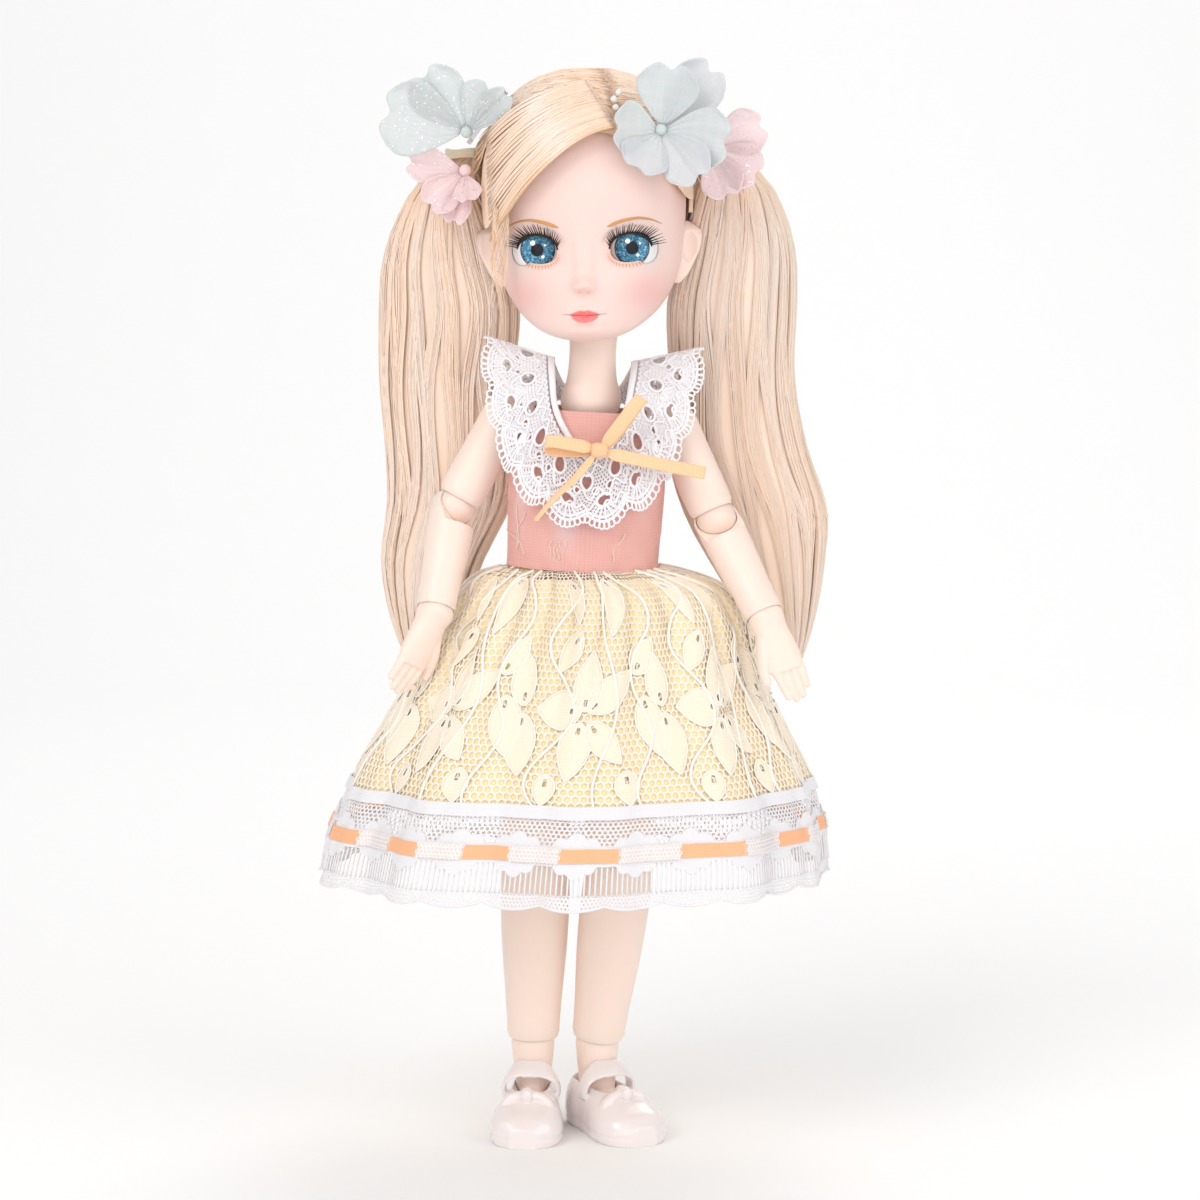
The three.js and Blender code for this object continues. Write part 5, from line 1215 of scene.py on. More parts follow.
def skullPoint(direction, out):
    # the point of the skull, offset by out, in a direction from its middle
    centre = np.array([0, headLine, headMiddle])
    direction = unit(direction)
    low, high = np.full(direction.shape[:-1], 5.0), np.full(direction.shape[:-1], 60.0)
    for _ in range(22):
        middle = (low + high) / 2
        p = centre + direction * middle[..., None]
        z = headMiddle + (p[..., 2] - headMiddle) / (1 + out / headHeight)
        rows = readTable(headTable, z)
        depth = out + np.where(p[..., 1] < headLine, headLine + rows[..., 1], rows[..., 2] - headLine)
        beside = (np.abs(p[..., 0]) / (rows[..., 0] + out)) ** headPower
        over = beside + (np.abs(p[..., 1] - headLine) / depth) ** headPower
        outside = (over > 1) | (z > 46.6) | (z < -24.8)
        high = np.where(outside, middle, high)
        low = np.where(outside, low, middle)
    return centre + direction * low[..., None]


partLine = [[0.0, 9.5, -21.5, 34.0], [0.22, 8.0, -15, 42], [0.42, 5.0, -3, 47], [0.6, 1.0, 14, 44],
            [0.8, 0.0, 28, 26], [1.0, 0.0, 27, -2], [1.2, 0.0, 26.5, -11.5]]


def capBase():
    # the cap that carries the hair, cut away for the face, the ears and the nape
    angles = circle(64)
    heights = np.linspace(-24.8, 46.6, 46)
    base = loft("capBase", headRings(2.1, heights, angles))
    opening = []
    for y, k in ((-60, 0), (-14, 0), (-4, 0.5), (6, 1)):
        x = 1.5 + (27.5 + 6 * k) * np.cos(angles)
        z = 2 + np.where(np.sin(angles) > 0, 30 - 12 * k, 34) * np.sin(angles)
        opening.append(np.stack([x, y + 0 * angles, z], -1))
    cutters = [loft("cutter", headRings(1.0, heights, angles)), loft("cutter", opening),
               prism("cutter", [(-30, -46), (14, -46), (14, -6), (-30, -6)], 80),
               prism("cutter", [(-30, -52), (50, -52), (50, -12), (-30, -12)], 80)]
    for _, side in sides:
        room = prism("cutter", [(-2.5, -12), (12.5, -12), (12.5, 9), (-2.5, 9)], 16)
        cutters.append(movePiece(room, np.eye(3), (side * 30, 0, 0)))
    carve(base, *cutters)
    paint(base, "tone", 0.55)
    return toHead(base)


def buildCap():
    dress(capBase(), hairFibre, "head", "hair", "wig_cap")
    for name, side in sides:
        count, steps = strands["cap"] // 2, 18
        where = 1.2 * rng.uniform(0, 1, count) ** 0.85
        start = readTable(partLine, where)
        s = np.linspace(0, 1, steps)[None, :, None]
        aim = np.array([side * 31.5, 5.0, 26.0]) + rng.normal(0, 1, (count, 3)) * [0.6, 2.2, 2.6]
        start[:, 0] += side * rng.uniform(0.0, 2.2, count)
        sag = np.stack([side * 4.0 + 0 * where, -6 * (0.5 - where), 5 - 16 * where], -1)
        path = start[:, None] * (1 - s) + aim[:, None] * s + sag[:, None] * np.sin(math.pi * s) * 0.6
        direction = path - [0, headLine, headMiddle]
        out = 2.5 + 0.5 * rng.uniform(0, 1, (count, 1)) ** 2 + 0.12 * np.sin(where[:, None] * 60)
        top = skullPoint(direction, np.repeat(out, steps, 1))
        lift = (smoothStep(0.82, 1.0, s) * 2.2) * np.array([side, 0, 0])
        tones = 0.66 + 0.10 * np.sin(where * 60) + rng.normal(0, 0.08, count) - 0.05 * (where < 0.15)
        t = s[..., 0]
        # painted highlight: a lighter band half way along the strands, across the crown; the ends darker
        # towards the tie
        tones = tones[:, None] + 0.16 * np.sin(math.pi * t) ** 3 - 0.14 * smoothStep(0.75, 1, t)
        hair = strandObject(f"capStrands_{name}", top + lift, tones)
        dress(hair, hairFibre, "head", "hair", "wig_cap")


def fringePoint(u, v, out):
    startX, startZ = 9.5 - 6 * v, 33 + 9.5 * v
    endX, endZ = -25.3 - 0.6 * v, 3 + 22 * v
    bow = 4 * u * (1 - u) * (7.0 - 3 * v)
    x, z = startX + (endX - startX) * u, startZ + (endZ - startZ) * u + bow * 0.9
    return np.stack([x, inFront(x, z, out), z], -1)


def buildFringe():
    u, v = np.meshgrid(np.linspace(0, 0.98, 60), np.linspace(0.02, 1.3, 40))
    out = 2.8 + 1.2 * np.sin(math.pi * u) + 0.12 * np.sin(v * 70)
    base = thickSheet("fringeBase", fringePoint(u, v, out), 0.9)
    paint(base, "tone", 0.6 + 0.08 * np.sin(v * 70))
    dress(toHead(base), hairFibre, "head", "hair", "fringe")
    count, steps = strands["fringe"], 24
    v = 1.36 * rng.uniform(0, 1, (count, 1))
    lock = np.floor(v * 16)
    s = np.linspace(0, 1, steps)[None]
    reach = rng.uniform(0.94, 1.02, (count, 1))
    drift = ((lock + 0.5) / 16 - v) * 0.35 * smoothStep(0.2, 1, s) + 0.012 * np.sin(9 * s + lock)
    out = 4.2 + 1.0 * np.sin(math.pi * s) + rng.uniform(0, 0.45, (count, 1)) + 0.12 * np.sin(v * 100)
    paths = fringePoint(s * reach, np.clip(v + drift, -0.03, 1.36), out)
    tones = 0.68 + 0.10 * np.sin(lock * 2.3) + rng.normal(0, 0.08, (count, 1))
    # painted shade on the lowest strands along the hairline, and a painted highlight: a lighter band across
    # the fringe
    tones = tones - 0.34 * smoothStep(0.16, 0.0, v) + 0.20 * bump(s - 0.42 - 0.1 * v, 0.16)
    hair = strandObject("fringeStrands", paths, tones)
    dress(hair, hairFibre, "head", "hair", "fringe")
    count = strands["loose"]
    s = np.linspace(0, 1, 20)[None]
    v = rng.uniform(0, 0.35, (count, 1))
    anchor = fringePoint(np.full((count, 1), 0.9), v, 4.6)[:, 0]
    length = rng.uniform(9, 26, (count, 1, 1))
    hang = np.stack([-1.5 * s + 1.6 * np.sin(3 * s + v * 20), 2 * s + 0 * v, -s + 0 * v], -1)
    paths = anchor[:, None] + hang * [1.2, 1.2, 0] + hang * [0, 0, 1] * length
    hair = strandObject("fringeLoose", paths, 0.5 + rng.normal(0, 0.1, count), 0.11)
    dress(hair, hairFibre, "head", "hair", "fringe")


def buildTies():
    for name, side in sides:
        turn = np.linspace(0, 2 * math.pi, 49)
        for k, lift in enumerate((-0.7, 0.0, 0.7)):
            ring = np.stack([4.96 * np.cos(turn), 4.1 * np.sin(turn), lift + 0.2 * np.sin(3 * turn + k)], -1)
            ring = (ring + hairTie) * [side, 1, 1]
            band = tubeObject(f"tie{k}_{name}", [ring], [0.62 + 0 * turn], 10)
            dress(toHead(band), tieElastic, "head", "elastic", f"hair_tie_{name}")
        finishNode(f"hair_clip_{name}", clipSteel)


buildBunches()
buildCap()
buildFringe()
buildTies()
print("hair built")


# Organza flowers: stiff heart-shaped petals stitched together at their narrow ends
flowers = {
    "mint_right": {"at": (-32, -9, 32.5), "petals": [((-23, -4, 6.5), 21, 2.5), ((-12, -2, 17), 16, 1.6),
                                                    ((8, -5, 13), 14, -2), ((13, -9, 11), 9, 1.4)]},
    "pink_right": {"at": (-33.0, -5.0, 22.0), "petals": [((-16, -3, 3), 10, 2), ((-10.5, -4, -10), 11, 2),
                                                        ((-3.5, -3, -15), 8, 2), ((1.5, -6, -9), 8, 1)]},
    "mint_left": {"at": (21.5, -21.5, 32), "petals": [((3.5, -5, 18), 17, 2.4), ((15, 1, 17), 15, 2.4),
                                                     ((-13, -6, 1), 15, 2.2), ((-7, -7, -11), 14, 2),
                                                     ((19, -5, -4), 17, 2.2), ((11, -8, -14), 14, 2)]},
    "pink_left": {"at": (34, -12, 27), "petals": [((15.5, -2, 6), 13, 2), ((14, -3, -8), 13, 2),
                                                 ((5.5, -4, -14), 12, 2)]}}
petalNotch, stitchRadius = 0.22, 1.7
pearls = ((-12.6, 0.6, 8.4), (-12.2, 0.9, 6.2), (-11.2, 0.4, 10.2))
# each look: colour, colour of the painted shade, glitter colour and glitter share
organza = {"mint": ((0.52, 0.64, 0.60), (0.64, 0.64, 0.68), (0.95, 0.97, 0.98), 0.2),
           "pink": ((0.93, 0.66, 0.66), (0.88, 0.68, 0.72), (0.98, 0.85, 0.86), 0.28)}


def makeOrganza(name, colour, edge, sparkle, share):
    material, tree, shader = newMaterial(name, Sheen_Weight=0.35, Sheen_Roughness=0.4,
                                         Subsurface_Weight=0.3, Subsurface_Radius=(0.8, 0.9, 0.9),
                                         Subsurface_Scale=0.004)
    cloth = placeGroup(tree, weave, {"Across": painted(tree, "across"), "Along": painted(tree, "along"),
                                     "Threads": 3.2, "Colour": (*colour, 1), "Shade": (*edge, 1),
                                     "Depth": 0.8})
    specks = placeGroup(tree, glitter, {"Scale": 1500.0, "Share": share})
    # painted shade: the petal turns towards the shade colour (edge) towards its tip
    petalWithShade = mixColour(tree, painted(tree, "paintedPetalShade"), cloth["Colour"], edge)
    dust = times(tree, specks["Mask"], painted(tree, "dust"))
    feed(tree, shader, Base_Color=mixColour(tree, dust, petalWithShade, sparkle), Metallic=times(tree, dust, 0.85),
         Roughness=minus(tree, 0.62, times(tree, dust, 0.4)))
    setBump(tree, shader, cloth["Height"], 0.7)
    return material


def petalPoints(tip, width, cup, rows=26, columns=30):
    tip = np.array(tip, float)
    length = np.linalg.norm(tip)
    out = tip / length
    across = unit(np.cross([0, -1, 0], out))
    face = unit(np.cross(out, across))
    u, v = np.meshgrid(np.linspace(0, 1, columns), np.linspace(0, 1, rows))
    side = 2 * u - 1
    spread = (0.1 + 0.9 * np.sin(np.minimum(1, v * 1.12) * math.pi * 0.62) ** 0.9) * (width / 2)
    spread = spread * (1 - 0.10 * smoothStep(0.86, 1, v))
    notch = -petalNotch * v ** 3 * (0.72 * np.exp(-(side / 0.34) ** 2) + 0.3 * side * side - 0.2)
    far = stitchRadius + (length - stitchRadius) * (v * (1 - 0.16 * side * side * v) + notch)
    seed = abs(tip[0]) + abs(tip[2])
    crease = 0.22 * v * np.sin(side * 7 + seed) + 0.16 * np.sin(side * 15 + seed * 2) * (1 - v)
    crease += 0.15 * v * np.sin(11 * side * v + seed)
    lift = cup * (side * side - 0.35) * v + 1.2 * v * v + crease
    points = out * far[..., None] + across * (side * spread)[..., None] + face * lift[..., None]
    return points, side * spread, far, v


def buildFlowers():
    materials = {colour: makeOrganza("organza" + colour.title(), *look) for colour, look in organza.items()}
    for name, flower in flowers.items():
        colour = name.split("_")[0]
        node = f"flower_{name}"
        for index, (tip, width, cup) in enumerate(flower["petals"]):
            points, across, along, v = petalPoints(tip, width, cup)
            petal = thickSheet(f"petal{index}_{name}", points + np.array(flower["at"]), 0.35)
            # painted shade, stronger on every other petal of the left mint flower; glitter dust
            paintedPetalShade, dust = (0.25 + 0.5 * (index % 2), 0.25) if name == "mint_left" else (0.15, 1.0)
            layers = {"across": across * 0.75, "along": along * 0.30, "paintedPetalShade": paintedPetalShade * v ** 0.5, "dust": dust}
            for layer, values in layers.items():
                paint(petal, layer, values)
            dress(toHead(petal), materials[colour], "head", f"organza_{colour}", node)
        knot = sphereCutter(flower["at"], stitchRadius)
        knot.name = f"stitches_{name}"
        threads = np.linspace(0, 6, len(knot.data.vertices))
        for layer, values in (("across", threads), ("along", threads), ("paintedPetalShade", 0), ("dust", 0)):
            paint(knot, layer, values)
        dress(toHead(knot), materials[colour], "head", f"organza_{colour}", node)
    pearl = vinyl("pearlBead", (0.90, 0.86, 0.80), (0.92, 0.80, 0.78), 0.2, 0.05, 200.0, strength=0.05,
                  Coat_Weight=0.8)
    for index, place in enumerate(pearls):
        bead = sphereCutter(np.array(flowers["mint_left"]["at"]) + place, 0.95)
        bead.name = f"bead{index}"
        dress(toHead(bead), pearl, "head", "organza_mint", "flower_mint_left")


buildFlowers()
print("flowers built")


# Dress cloth: painted coordinates give the threads their direction
def cloth(name, colour, shade, threads=5.0, depth=0.5, roughness=0.8, relief=0.5, over=None, **sockets):
    # over, where it is given, lays another colour on the woven one
    material, tree, shader = newMaterial(name, Roughness=roughness, **sockets)
    woven = placeGroup(tree, weave, {"Across": painted(tree, "across"), "Along": painted(tree, "along"),
                                     "Threads": threads, "Colour": (*colour, 1), "Shade": (*shade, 1),
                                     "Depth": depth})
    feed(tree, shader, Base_Color=over(tree, woven["Colour"]) if over else woven["Colour"])
    setBump(tree, shader, woven["Height"], relief, 0.12)
    return material


def spun(name, colour, tint, roughness, scale, strength, sheen=0.3):
    return vinyl(name, colour, tint, roughness, 0.1, scale, 0.5, strength, Sheen_Weight=sheen)


# Skirt: a place on it is a turn from 0 to 1 and a height
# rows are [height, middle X, half width, front, back]
skirtTable = [[159.6, 2.9, 21.6, 14.6, 14.4], [157.8, 4.0, 28.5, 18.5, 18.5], [154, 6.3, 35.5, 22.5, 24],
              [147, 6.5, 40.5, 26.5, 29], [141, 5.5, 43.4, 29.5, 32], [124, 3.6, 50.4, 37, 39],
              [105, 2.4, 60.6, 46, 47.5], [97, 2.2, 64.4, 50, 51], [85, 1, 68.4, 53.6, 54],
              [73, 0.1, 70.4, 55.8, 55.8]]
skirt = {"top": 159.6, "bottom": 73.0, "laceEnd": 97.2, "folds": 11, "wave": 1.6, "gathers": 27,
         "gather": 1.5, "around": 365.0, "cell": 2.05, "hole": 0.68, "lining": (157.4, 97.6)}


def skirtPoint(turn, height, out=0.0):
    turn, height = np.broadcast_arrays(np.asarray(turn, float), np.asarray(height, float))
    angle = turn * 2 * np.pi
    middle, half, front, back = np.moveaxis(readTable(skirtTable, height), -1, 0)
    down = (skirt["top"] - height) / (skirt["top"] - skirt["bottom"])
    folds = np.sin(skirt["folds"] * angle + 1.2 * np.sin(2 * angle)) + 0.5 * np.sin(9 * angle + 2)
    wave = skirt["wave"] * np.minimum(1, down * 4) * (0.45 + 0.55 * down) * folds
    crease = np.sin(skirt["gathers"] * angle + 2.1 * np.sin(3 * angle) + 1.3 * np.sin(5 * angle + 1))
    crease = crease - 0.5 * np.abs(crease) ** 3
    wave = wave + skirt["gather"] * (0.25 + 0.75 * np.exp(-((height - 148) / 17) ** 2)) * crease
    grown = out + wave
    depth = np.where(np.sin(angle) < 0, front, back)
    return np.stack([middle + (half + grown) * np.cos(angle), (depth + grown) * np.sin(angle), height], -1)


def clothScale():
    # the cloth's length down from the waist against the height
    heights = np.linspace(skirt["top"], skirt["bottom"], 120)
    rows = readTable(skirtTable, heights)
    reach = np.sqrt(rows[:, 1] * (rows[:, 2] + rows[:, 3]) / 2)
    steps = np.hypot(np.diff(reach), np.diff(heights))
    return np.concatenate([[0], np.cumsum(steps)]), heights


clothDown, clothHeights = clothScale()
laceLength = float(np.interp(-skirt["laceEnd"], -clothHeights, clothDown))


def onCloth(x, y, out=0.0):
    # x runs round the skirt and y down it, both in millimetres of cloth
    return skirtPoint(x / skirt["around"], np.interp(y, clothDown, clothHeights), out)


def paintCloth(thing, across, along):
    paint(thing, "across", across)
    paint(thing, "along", along)
    return thing


def halfTurn(side, columns):
    # turns across one half of the skirt, between the seams at middle front and middle back
    return (0.25 if side < 0 else 0.75) + np.linspace(0, 0.5, columns)


def skirtStrip(name, top, bottom, out, rows, columns, thickness):
    # one strip for each half; top and bottom are heights, or give a height for each turn
    strips = []
    for word, side in sides:
        turn = halfTurn(side, columns)[None, :]
        share = np.linspace(0, 1, rows)[:, None]
        high, low = (line(turn) if callable(line) else line for line in (top, bottom))
        turn, height = np.broadcast_arrays(turn, high * (1 - share) + low * share)
        strip = thickSheet(f"{name}_{word}", skirtPoint(turn, height, out), thickness)
        strip.data.set_sharp_from_angle(angle=math.radians(50))
        strips.append(paintCloth(strip, turn * skirt["around"], height))
    return strips


def makeNet(name, columns, rows, hole, place, ridge=0.16, keep=None):
    # a net of hexagons whose threads stand up along the middle; place turns a share round and down into
    # a point, and keep, where it is given, says which cells stay
    c, r = np.meshgrid(np.arange(columns), np.arange(rows))
    middle = np.stack([2 * c + r % 2, 3 * r + 2], -1).reshape(-1, 1, 2)
    corner = np.array([[0, -2], [1, -1], [1, 1], [0, 2], [-1, 1], [-1, -1]])
    scale = np.array([2.0 * columns, 3.0 * rows + 1])
    if keep:
        middle = middle[keep(*(middle[:, 0] / scale).T)]
    outer = middle + corner
    outer[..., 0] %= 2 * columns
    keys, index = np.unique(outer.reshape(-1, 2), axis=0, return_inverse=True)
    index = index.reshape(-1, 6)
    inner = (middle + corner * hole).reshape(-1, 2)
    high, low = place(*(keys / scale).T, ridge), place(*(inner / scale).T, -ridge)
    holes = len(keys) + np.arange(len(inner)).reshape(-1, 6)
    quads = np.stack([index, holes, np.roll(holes, -1, 1), np.roll(index, -1, 1)], -1).reshape(-1, 4)
    return meshObject(name, np.concatenate([high, low]), quads)


# Leaves of one repeat of the lace: x, y on the cloth, degrees from straight down, length and width
repeatCount = 8
laceLeaves = [(0, 46, 176, 17, 9), (-1, 46, -92, 14, 11), (1, 46, 128, 18, 9), (-1, 49, -10, 17, 9),
              (1.5, 49, 38, 15, 8), (-20, 45, 194, 16, 8), (-20, 47, 8, 18, 10), (16, 36, 150, 12, 8),
              (19, 42, 14, 18, 9), (9, 5, -6, 20, 8), (-9, 7, 12, 15, 6), (-4, 24, -28, 13, 7),
              (12, 63, 4, 10, 7), (-9, 64, -6, 9, 6)]
laceVines = [(-9, 6.0, 40, 0.6), (6.5, 3.5, 52, 2.6), (18, 3.0, 34, 4.4)]


def leafPlaces(leaf, along, side):
    # along runs from the base to the tip, side is -1 to 1 across the leaf
    x, y, direction, length, width = leaf
    a = math.radians(direction)
    spread = side * width / 2 * np.sin(np.pi * np.clip(along, 0, 1) ** 0.8) ** 0.85
    return (x + along * length * math.sin(a) + spread * math.cos(a),
            y + along * length * math.cos(a) - spread * math.sin(a), spread)


def makeLeaves(name, repeats):
    # every leaf of the lace in one piece, each with an eyelet near its base
    rows, columns, points, faces, flat = 26, 11, [], [], []
    along = np.linspace(0.0, 1.0, rows)[:, None]
    side = np.linspace(-1, 1, columns)[None, :]
    grid = gridFaces(rows, columns)
    for repeat in range(repeats):
        shift = repeat * skirt["around"] / repeats
        for leaf in laceLeaves:
            x, y, spread = leafPlaces(leaf, along, side)
            eyelet = ((along * leaf[3] - 2.6) / 1.3) ** 2 + (spread / 0.85) ** 2
            isHole = eyelet.ravel()[grid].mean(1) < 1
            faces.append(grid[~isHole] + len(points) * rows * columns)
            points.append(onCloth(x + shift, np.clip(y, 0.6, laceLength), 0.22 + 0.28 * (1 - side ** 2)))
            flat.append(np.stack([x + shift, y], -1))
    flat = np.concatenate(flat).reshape(-1, 2)
    thing = meshObject(name, np.concatenate(points).reshape(-1, 3), np.concatenate(faces))
    return paintCloth(thing, flat[:, 0], flat[:, 1])


def makeCords(name, repeats):
    # the raised white cords: round each leaf, round its eyelet, and the long vines
    rounds = np.linspace(0, 2 * np.pi, 41)
    paths, radii = [], []
    for repeat in range(repeats):
        shift = repeat * skirt["around"] / repeats
        for leaf in laceLeaves:
            side = np.where(rounds < np.pi, 1.0, -1.0)
            x, y, _ = leafPlaces(leaf, (1 - np.cos(rounds)) / 2, side)
            paths.append(onCloth(x + shift, np.clip(y, 0.5, laceLength), 0.45))
            a = math.radians(leaf[2])
            down, across = 2.6 + 1.35 * np.cos(rounds), 0.95 * np.sin(rounds)
            x = leaf[0] + down * math.sin(a) + across * math.cos(a)
            y = leaf[1] + down * math.cos(a) - across * math.sin(a)
            paths.append(onCloth(x + shift, np.clip(y, 0.5, laceLength), 0.5))
            radii += [[0.24], [0.17]]
    outlines = tubes(paths, radii, 5, 0.8)
    y = np.linspace(0, laceLength, 130)
    vines = []
    for repeat in range(repeats):
        for middle, sway, wave, start in laceVines:
            x = middle + sway * np.sin(y / wave * 2 * np.pi + start) + repeat * skirt["around"] / repeats
            vines.append(onCloth(x, y, 0.55))
    points, quads, caps = tubes(vines, 0.42, 6, 0.8)
    base = len(outlines[0])
    faceSets = (outlines[1], quads + base, outlines[2], caps + base)
    return meshObject(name, np.concatenate([outlines[0], points]), *faceSets)


def parted(thing):
    # cuts an open mesh along the seams of the skirt
    mesh, co = thing.data, pointsOf(thing)
    corners = np.empty(len(mesh.loops), np.int32)
    starts, sizes = np.empty((2, len(mesh.polygons)), np.int32)
    mesh.loops.foreach_get("vertex_index", corners)
    mesh.polygons.foreach_get("loop_start", starts)
    mesh.polygons.foreach_get("loop_total", sizes)
    pieces = []
    for word, side in sides:
        sets = []
        for size in np.unique(sizes):
            faces = corners[starts[sizes == size][:, None] + np.arange(size)]
            middle = co[faces].mean(1)
            sets.append(faces[side * (middle[:, 0] - readTable(skirtTable, middle[:, 2])[:, 0]) > 0])
        used = np.unique(np.concatenate([faces.ravel() for faces in sets]))
        place = np.zeros(len(co), np.int64)
        place[used] = np.arange(len(used))
        piece = meshObject(f"{thing.name}_{word}", co[used], *[place[faces] for faces in sets])
        for layer in ("across", "along"):
            if layer in mesh.attributes:
                values = np.empty(len(co))
                mesh.attributes[layer].data.foreach_get("value", values)
                paint(piece, layer, values[used])
        pieces.append(piece)
    bpy.data.objects.remove(thing)
    return pieces


def hang(pieces, material, slot, *nodes):
    for piece, (word, _) in zip(pieces, sides):
        piece.data.materials.append(material)
        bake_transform(piece)
        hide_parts(*nodes)
    return pieces


def scallops(turn, count, wide, tall, low):
    # a three-lobed edge: how far it stands out at each turn
    x = ((turn * count) % 1 - 0.5) * skirt["around"] / count

    def dome(at, width, height):
        return height * np.sqrt(np.clip(1 - ((x - at) / width) ** 2, 0, 1))

    beside = [dome(at * wide, 0.75 * wide, 0.62 * tall) for at in (-1.35, 1.35)]
    return low + np.maximum(dome(0, wide, tall), np.maximum(*beside))


hem = {"tapeTop": 100.2, "tapeBottom": 96.9, "netTop": 97.4, "netBottom": 88.8, "ribbonTop": 89.5,
       "ribbonBottom": 85.9, "barsTop": 85.6, "barsBottom": 77.0, "edge": 74.6, "overTop": 90.0,
       "overTall": 4.4, "motifs": 26, "bars": 300, "bare": 14, "netCells": 290, "edgeCells": 416,
       "overCells": 380, "ribbonSteps": 451}


def ribbonCover(turn):
    # 1 where the lace lies over the ribbon, 0 where the ribbon is bare
    angle = turn * 2 * np.pi
    return smoothStep(-0.15, 0.15, np.sin(hem["bare"] * angle + 0.9 * np.sin(3 * angle)))


def laceOver(tree, colour):
    lace = mixColour(tree, noise(tree, 1400.0, 2.0), (0.97, 0.72, 0.50), (0.98, 0.88, 0.78))
    return mixColour(tree, times(tree, painted(tree, "cover"), 0.9), colour, lace)


def ribbonSatin():
    return cloth("ribbonSatin", (0.96, 0.50, 0.27), (0.94, 0.40, 0.18), 6.5, 0.35, 0.34, 0.3, laceOver,
                 Anisotropic=0.5, Sheen_Weight=0.2)


def buildSkirt():
    liningCloth = cloth("liningCloth", (1.0, 0.85, 0.52), (0.98, 0.74, 0.36), 4.2, 0.4, 0.85, 0.5,
                        Sheen_Weight=0.2)
    netYarn = spun("laceYarn", (0.97, 0.88, 0.76), (0.95, 0.84, 0.68), 0.85, 300.0, 0.8)
    leafCloth = cloth("leafCloth", (0.97, 0.89, 0.74), (0.95, 0.80, 0.60), 3.6, 0.6, 0.85, 1.0,
                      Sheen_Weight=0.3)
    cordYarn = spun("cordYarn", (0.97, 0.92, 0.84), (0.95, 0.88, 0.78), 0.75, 700.0, 1.0)
    whiteYarn = spun("whiteYarn", (0.88, 0.86, 0.88), (0.82, 0.80, 0.83), 0.8, 500.0, 0.9)
    tapeCloth = cloth("tapeCloth", (0.90, 0.89, 0.91), (0.74, 0.72, 0.76), 7.0, 0.5, 0.8, 0.6)
    lining = skirtStrip("skirtLining", *skirt["lining"], -0.75, 40, 301, 0.4)
    hang(lining, liningCloth, "lining", "skirt_lining")
    place = lambda turn, share, out: onCloth(turn * skirt["around"], share * laceLength, out)
    columns, rows = round(skirt["around"] / skirt["cell"]), round(laceLength / (skirt["cell"] * 0.94))
    lace = ((makeNet("skirtNet", columns, rows, skirt["hole"], place), netYarn),
            (makeLeaves("skirtLeaves", repeatCount), leafCloth),
            (makeCords("skirtCords", repeatCount), cordYarn))
    net, leaves, cords = [hang(parted(thing), yarn, "lace_cream", "skirt_lace") for thing, yarn in lace]

    span = hem["netTop"] - hem["netBottom"]
    place = lambda turn, share, out: skirtPoint(turn, hem["netTop"] - share * span, out)
    hemNet = makeNet("hemNet", hem["netCells"], round(span / 1.1), 0.62, place, 0.1)
    edgeHeight = lambda at: hem["edge"] - 1.5 * np.abs(np.sin(np.pi * hem["motifs"] * at)) ** 0.8
    edgeTop = hem["barsBottom"] + 0.5
    place = lambda turn, share, out: skirtPoint(turn, edgeTop + share * (edgeHeight(turn) - edgeTop), out)
    edge = makeNet("hemEdge", hem["edgeCells"], 4, 0.4, place, 0.12)
    place = lambda turn, share, out: skirtPoint(turn, hem["overTop"] - hem["overTall"] * share, 1.2 + out)
    keep = lambda turn, share: ribbonCover(turn) > 0.45
    over = makeNet("hemOver", hem["overCells"], 4, 0.5, place, 0.08, keep)
    barTurn = (np.arange(hem["bars"]) / hem["bars"])[:, None]
    barHeight = np.linspace(hem["barsTop"], hem["barsBottom"], 6)[None, :]
    bars = tubeObject("hemBars", skirtPoint(barTurn, barHeight, 0.1), 0.3, 5, 0.6)
    rim = np.linspace(0, 1, hem["motifs"] * 32 + 1)
    braid = tubeObject("hemBraid", skirtPoint(rim, edgeHeight(rim), 0.15)[None], 0.36, 6)
    openWork = (hemNet, edge, over, bars, braid)
    threads = [hang(parted(thing), whiteYarn, "lace_white", "hem_lace") for thing in openWork]

    crest = lambda turn: hem["netBottom"] + 0.6 + scallops(turn, hem["motifs"], 2.6, 3.6, 0.6)
    drop = lambda turn: hem["barsTop"] - scallops(turn, hem["motifs"], 2.2, 3.4, 0.7)
    solid = (skirtStrip("hemTape", hem["tapeTop"], hem["tapeBottom"], 0.75, 5, 361, 0.5),
             skirtStrip("hemMotifs", crest, hem["netBottom"], 0.35, 5, 417, 0.3),
             skirtStrip("hemDrops", hem["ribbonBottom"] + 0.3, drop, 0.45, 5, 417, 0.3))
    tapes = [hang(strips, tapeCloth, "lace_white", "hem_lace") for strips in solid]
    ribbon = skirtStrip("hemRibbon", hem["ribbonTop"], hem["ribbonBottom"], 0.85, 5, hem["ribbonSteps"], 0.35)
    for strip, (_, side) in zip(ribbon, sides):
        paint(strip, "cover", ribbonCover(halfTurn(side, hem["ribbonSteps"])))
    hang(ribbon, ribbonSatin(), "ribbon", "hem_ribbon")


buildSkirt()
print("skirt built")


# Bodice, collar and bow: places are in the chest's frame, whose origin is between the hips and whose z
# leans with the back
bodice = {"bottom": 26.2, "top": 70.0, "out": 1.6, "thick": 0.7, "armhole": (10.4, 40.0, 11.4),
          "armholeAt": (25.6, 66.8), "girth": 118.0, "tall": 41.5, "cloth": 0.8,
          "cells": (220, 70)}
# loose threads: middle x, lowest and highest z, lean
looseThreads = ((-8.6, 29.5, 34.5, 0.5), (-7.2, 29.0, 34.0, 0.2), (-6.0, 29.2, 34.6, -0.1),
                (-4.8, 29.0, 35.0, 0.7), (7.5, 29.5, 37.5, 3.4), (-19.0, 31.0, 42.0, 2.6),
                (-18.5, 32.0, 52.0, -1.2), (-16.5, 30.0, 36.0, -6.0))


def toChest(thing):
    return movePiece(thing, leanTurn, hipMiddle)


